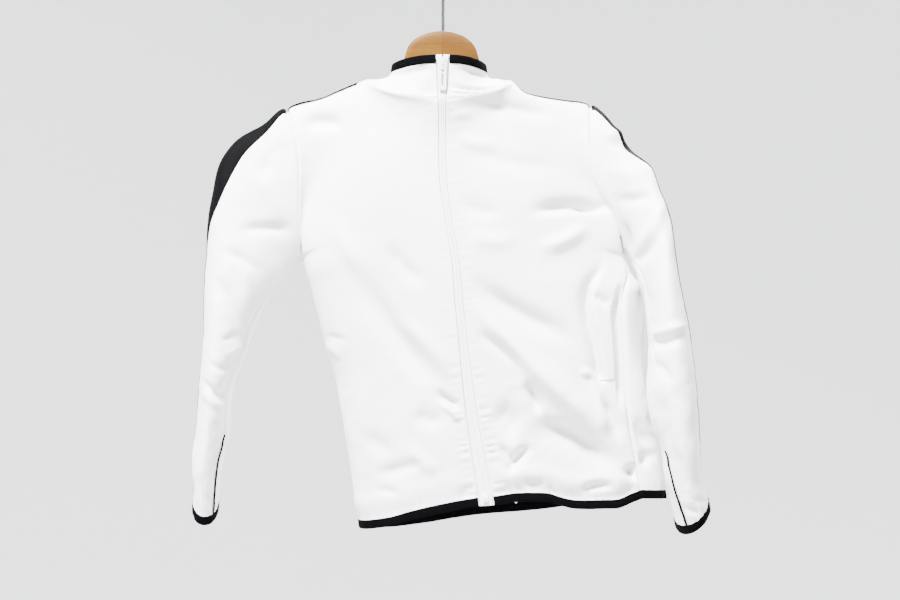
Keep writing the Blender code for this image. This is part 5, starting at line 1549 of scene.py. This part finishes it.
def hanger_arm(name, side, finish):
    """Half of the hanger: rings along its arm, finer than the solid's."""
    end = WOOD_TOP[-1][0]
    along = np.concatenate([[0.0], np.linspace(0.4, end - 0.8, 90), [end]])
    turns = np.linspace(0, 2 * math.pi, 41)
    grid = np.zeros((len(along), len(turns), 3))
    for i, distance in enumerate(along):
        top, height, thick = (table_value(WOOD_TOP, c, distance) for c in (1, 2, 3))
        into_tip = max(0.0, (distance - end + TIP_ROUND) / TIP_ROUND)
        ease = math.sqrt(max(0.0, 1 - into_tip ** 2)) * 0.9 + 0.1
        height, thick = height - 0.4, (thick - 0.3) * ease
        grid[i, :, 0] = HANGER_MIDDLE_X + side * (distance + 0.02)
        grid[i, :, 1] = squarish(np.cos(turns)) * thick / 2
        grid[i, :, 2] = top - 0.2 - height / 2 + squarish(np.sin(turns)) * height / 2 * (0.7 + 0.3 * ease)
    return shown(name, closed_mesh(grid, name), finish, "jacket", [f"hanger_arm_{NAMES[side]}"],
                 smooth_angle=60.0)


# one beech in a lit and a shaded copy: the right arm's tone is painted lighter and the left arm's darker, as
# painted light and shade from the side the light falls on
hanger_arm("arm_wood_right", -1, beech("beech_painted_lit", (0.095, 0.042, 0.002), (0.062, 0.025, 0.0012), 1))
hanger_arm("arm_wood_left", 1, beech("beech_painted_shade", (0.08, 0.033, 0.0015), (0.05, 0.019, 0.001), 2))


def hook_path():
    """The hook's centre line: an arc over the rail, back to the axis and down the stem."""
    centre_z = HOOK_WIRE / 2 - HOOK_RADIUS
    points = []
    for turn in np.radians(np.linspace(205.0, -40.0, 60)).tolist():
        points.append((HOOK_RADIUS * math.cos(turn), 0.0, centre_z + HOOK_RADIUS * math.sin(turn)))
    start = Vector(points[-1])
    heading = Vector((math.sin(turn), 0.0, -math.cos(turn)))
    bend = (start, start + heading * 9.0, Vector((0.0, 0.0, centre_z - 22.0)),
            Vector((0.0, 0.0, centre_z - 32.0)))
    for t in np.linspace(0.05, 1.0, 20).tolist():
        shares = ((1 - t) ** 3, 3 * t * (1 - t) ** 2, 3 * t * t * (1 - t), t ** 3)
        points.append(tuple(sum((w * p for w, p in zip(shares, bend)), Vector())))
    points.append((0.0, 0.0, STEM_END_Z))
    return np.array(points)


def wire_piece():
    path = hook_path()
    ahead = unit(np.gradient(path, axis=0))
    side = np.array([0.0, 1.0, 0.0])
    other = unit(np.cross(ahead, side))
    turns = np.linspace(0, 2 * math.pi, 21)[None, :, None]
    ring = (side * np.cos(turns) + other[:, None] * np.sin(turns)) * HOOK_WIRE / 2
    tip = [path[0] + ahead[0] * shift + ring[0] * size for shift, size in HOOK_TIP]
    grid = np.concatenate([np.array(tip), path[:, None] + ring])
    return shown("hanger_hook", closed_mesh(grid, "hanger_hook"), plated_wire(), "jacket",
                 ["hook_wire"], smooth_angle=60.0)


wire_piece()


# Stage, light and camera, in metres

FLOOR_Z, FLOOR_RADIUS, COVE, WALL_TOP = -1.75, 3.5, 1.6, 4.5


def stage():
    """A pale floor that curves up into a round wall, open at the top."""
    bm = bmesh.new()
    profile = [(0.001, FLOOR_Z), (FLOOR_RADIUS, FLOOR_Z)]
    for k in range(1, 9):
        turn = math.radians(90 * k / 8)
        profile.append((FLOOR_RADIUS + COVE * math.sin(turn), FLOOR_Z + COVE * (1 - math.cos(turn))))
    profile.append((FLOOR_RADIUS + COVE, WALL_TOP))
    verts = [bm.verts.new((x, 0.0, z)) for x, z in profile]
    edges = [bm.edges.new(pair) for pair in zip(verts, verts[1:])]
    bmesh.ops.spin(bm, geom=verts + edges, cent=(0, 0, 0), axis=(0, 0, 1), angle=2 * math.pi,
                   steps=64, use_merge=True)
    mesh = mesh_of(bm, "pale_stage")
    mesh.materials.append(pale_wall())
    mesh.shade_smooth()
    obj = bpy.data.objects.new("pale_stage", mesh)
    bpy.context.scene.collection.objects.link(obj)


def area_light(name, spot, aim, size, watts, colour=(1.0, 1.0, 1.0)):
    light = bpy.data.lights.new(name, "AREA")
    light.shape = "RECTANGLE"
    light.size, light.size_y = size
    light.energy = watts
    light.color = colour
    obj = bpy.data.objects.new(name, light)
    obj.location = spot
    heading = Vector(aim) - Vector(spot)
    obj.rotation_euler = heading.to_track_quat("-Z", "Y").to_euler()
    obj.visible_camera = False
    bpy.context.scene.collection.objects.link(obj)


stage()
area_light("key", (-0.75, -1.45, 2.35), (0.0, 0.0, -0.35), (0.7, 0.7), 1400.0, (1.0, 0.99, 0.975))
area_light("fill", (2.2, -2.6, 0.0), (0.0, 0.0, -0.4), (1.6, 1.6), 4.0, (0.95, 0.975, 1.0))
area_light("top", (0.2, 0.2, 2.6), (0.0, 0.0, -0.3), (2.4, 2.4), 25.0)
area_light("rear", (1.5, 2.0, 1.9), (0.0, 0.0, -0.35), (0.9, 0.9), 420.0)
world = bpy.data.worlds.new("studio")
world.use_nodes = True
world.node_tree.nodes["Background"].inputs["Color"].default_value = (0.93, 0.955, 1.0, 1.0)
world.node_tree.nodes["Background"].inputs["Strength"].default_value = 0.12
bpy.context.scene.world = world

camera = bpy.data.cameras.new("camera")
camera.lens = 80.0
camera.sensor_width = 36.0
camera_object = bpy.data.objects.new("camera", camera)
camera_object.location = (0.0077, -2.2, -0.377)
camera_object.rotation_euler = (math.radians(90.0), 0.0, 0.0)
bpy.context.scene.collection.objects.link(camera_object)
bpy.context.scene.camera = camera_object
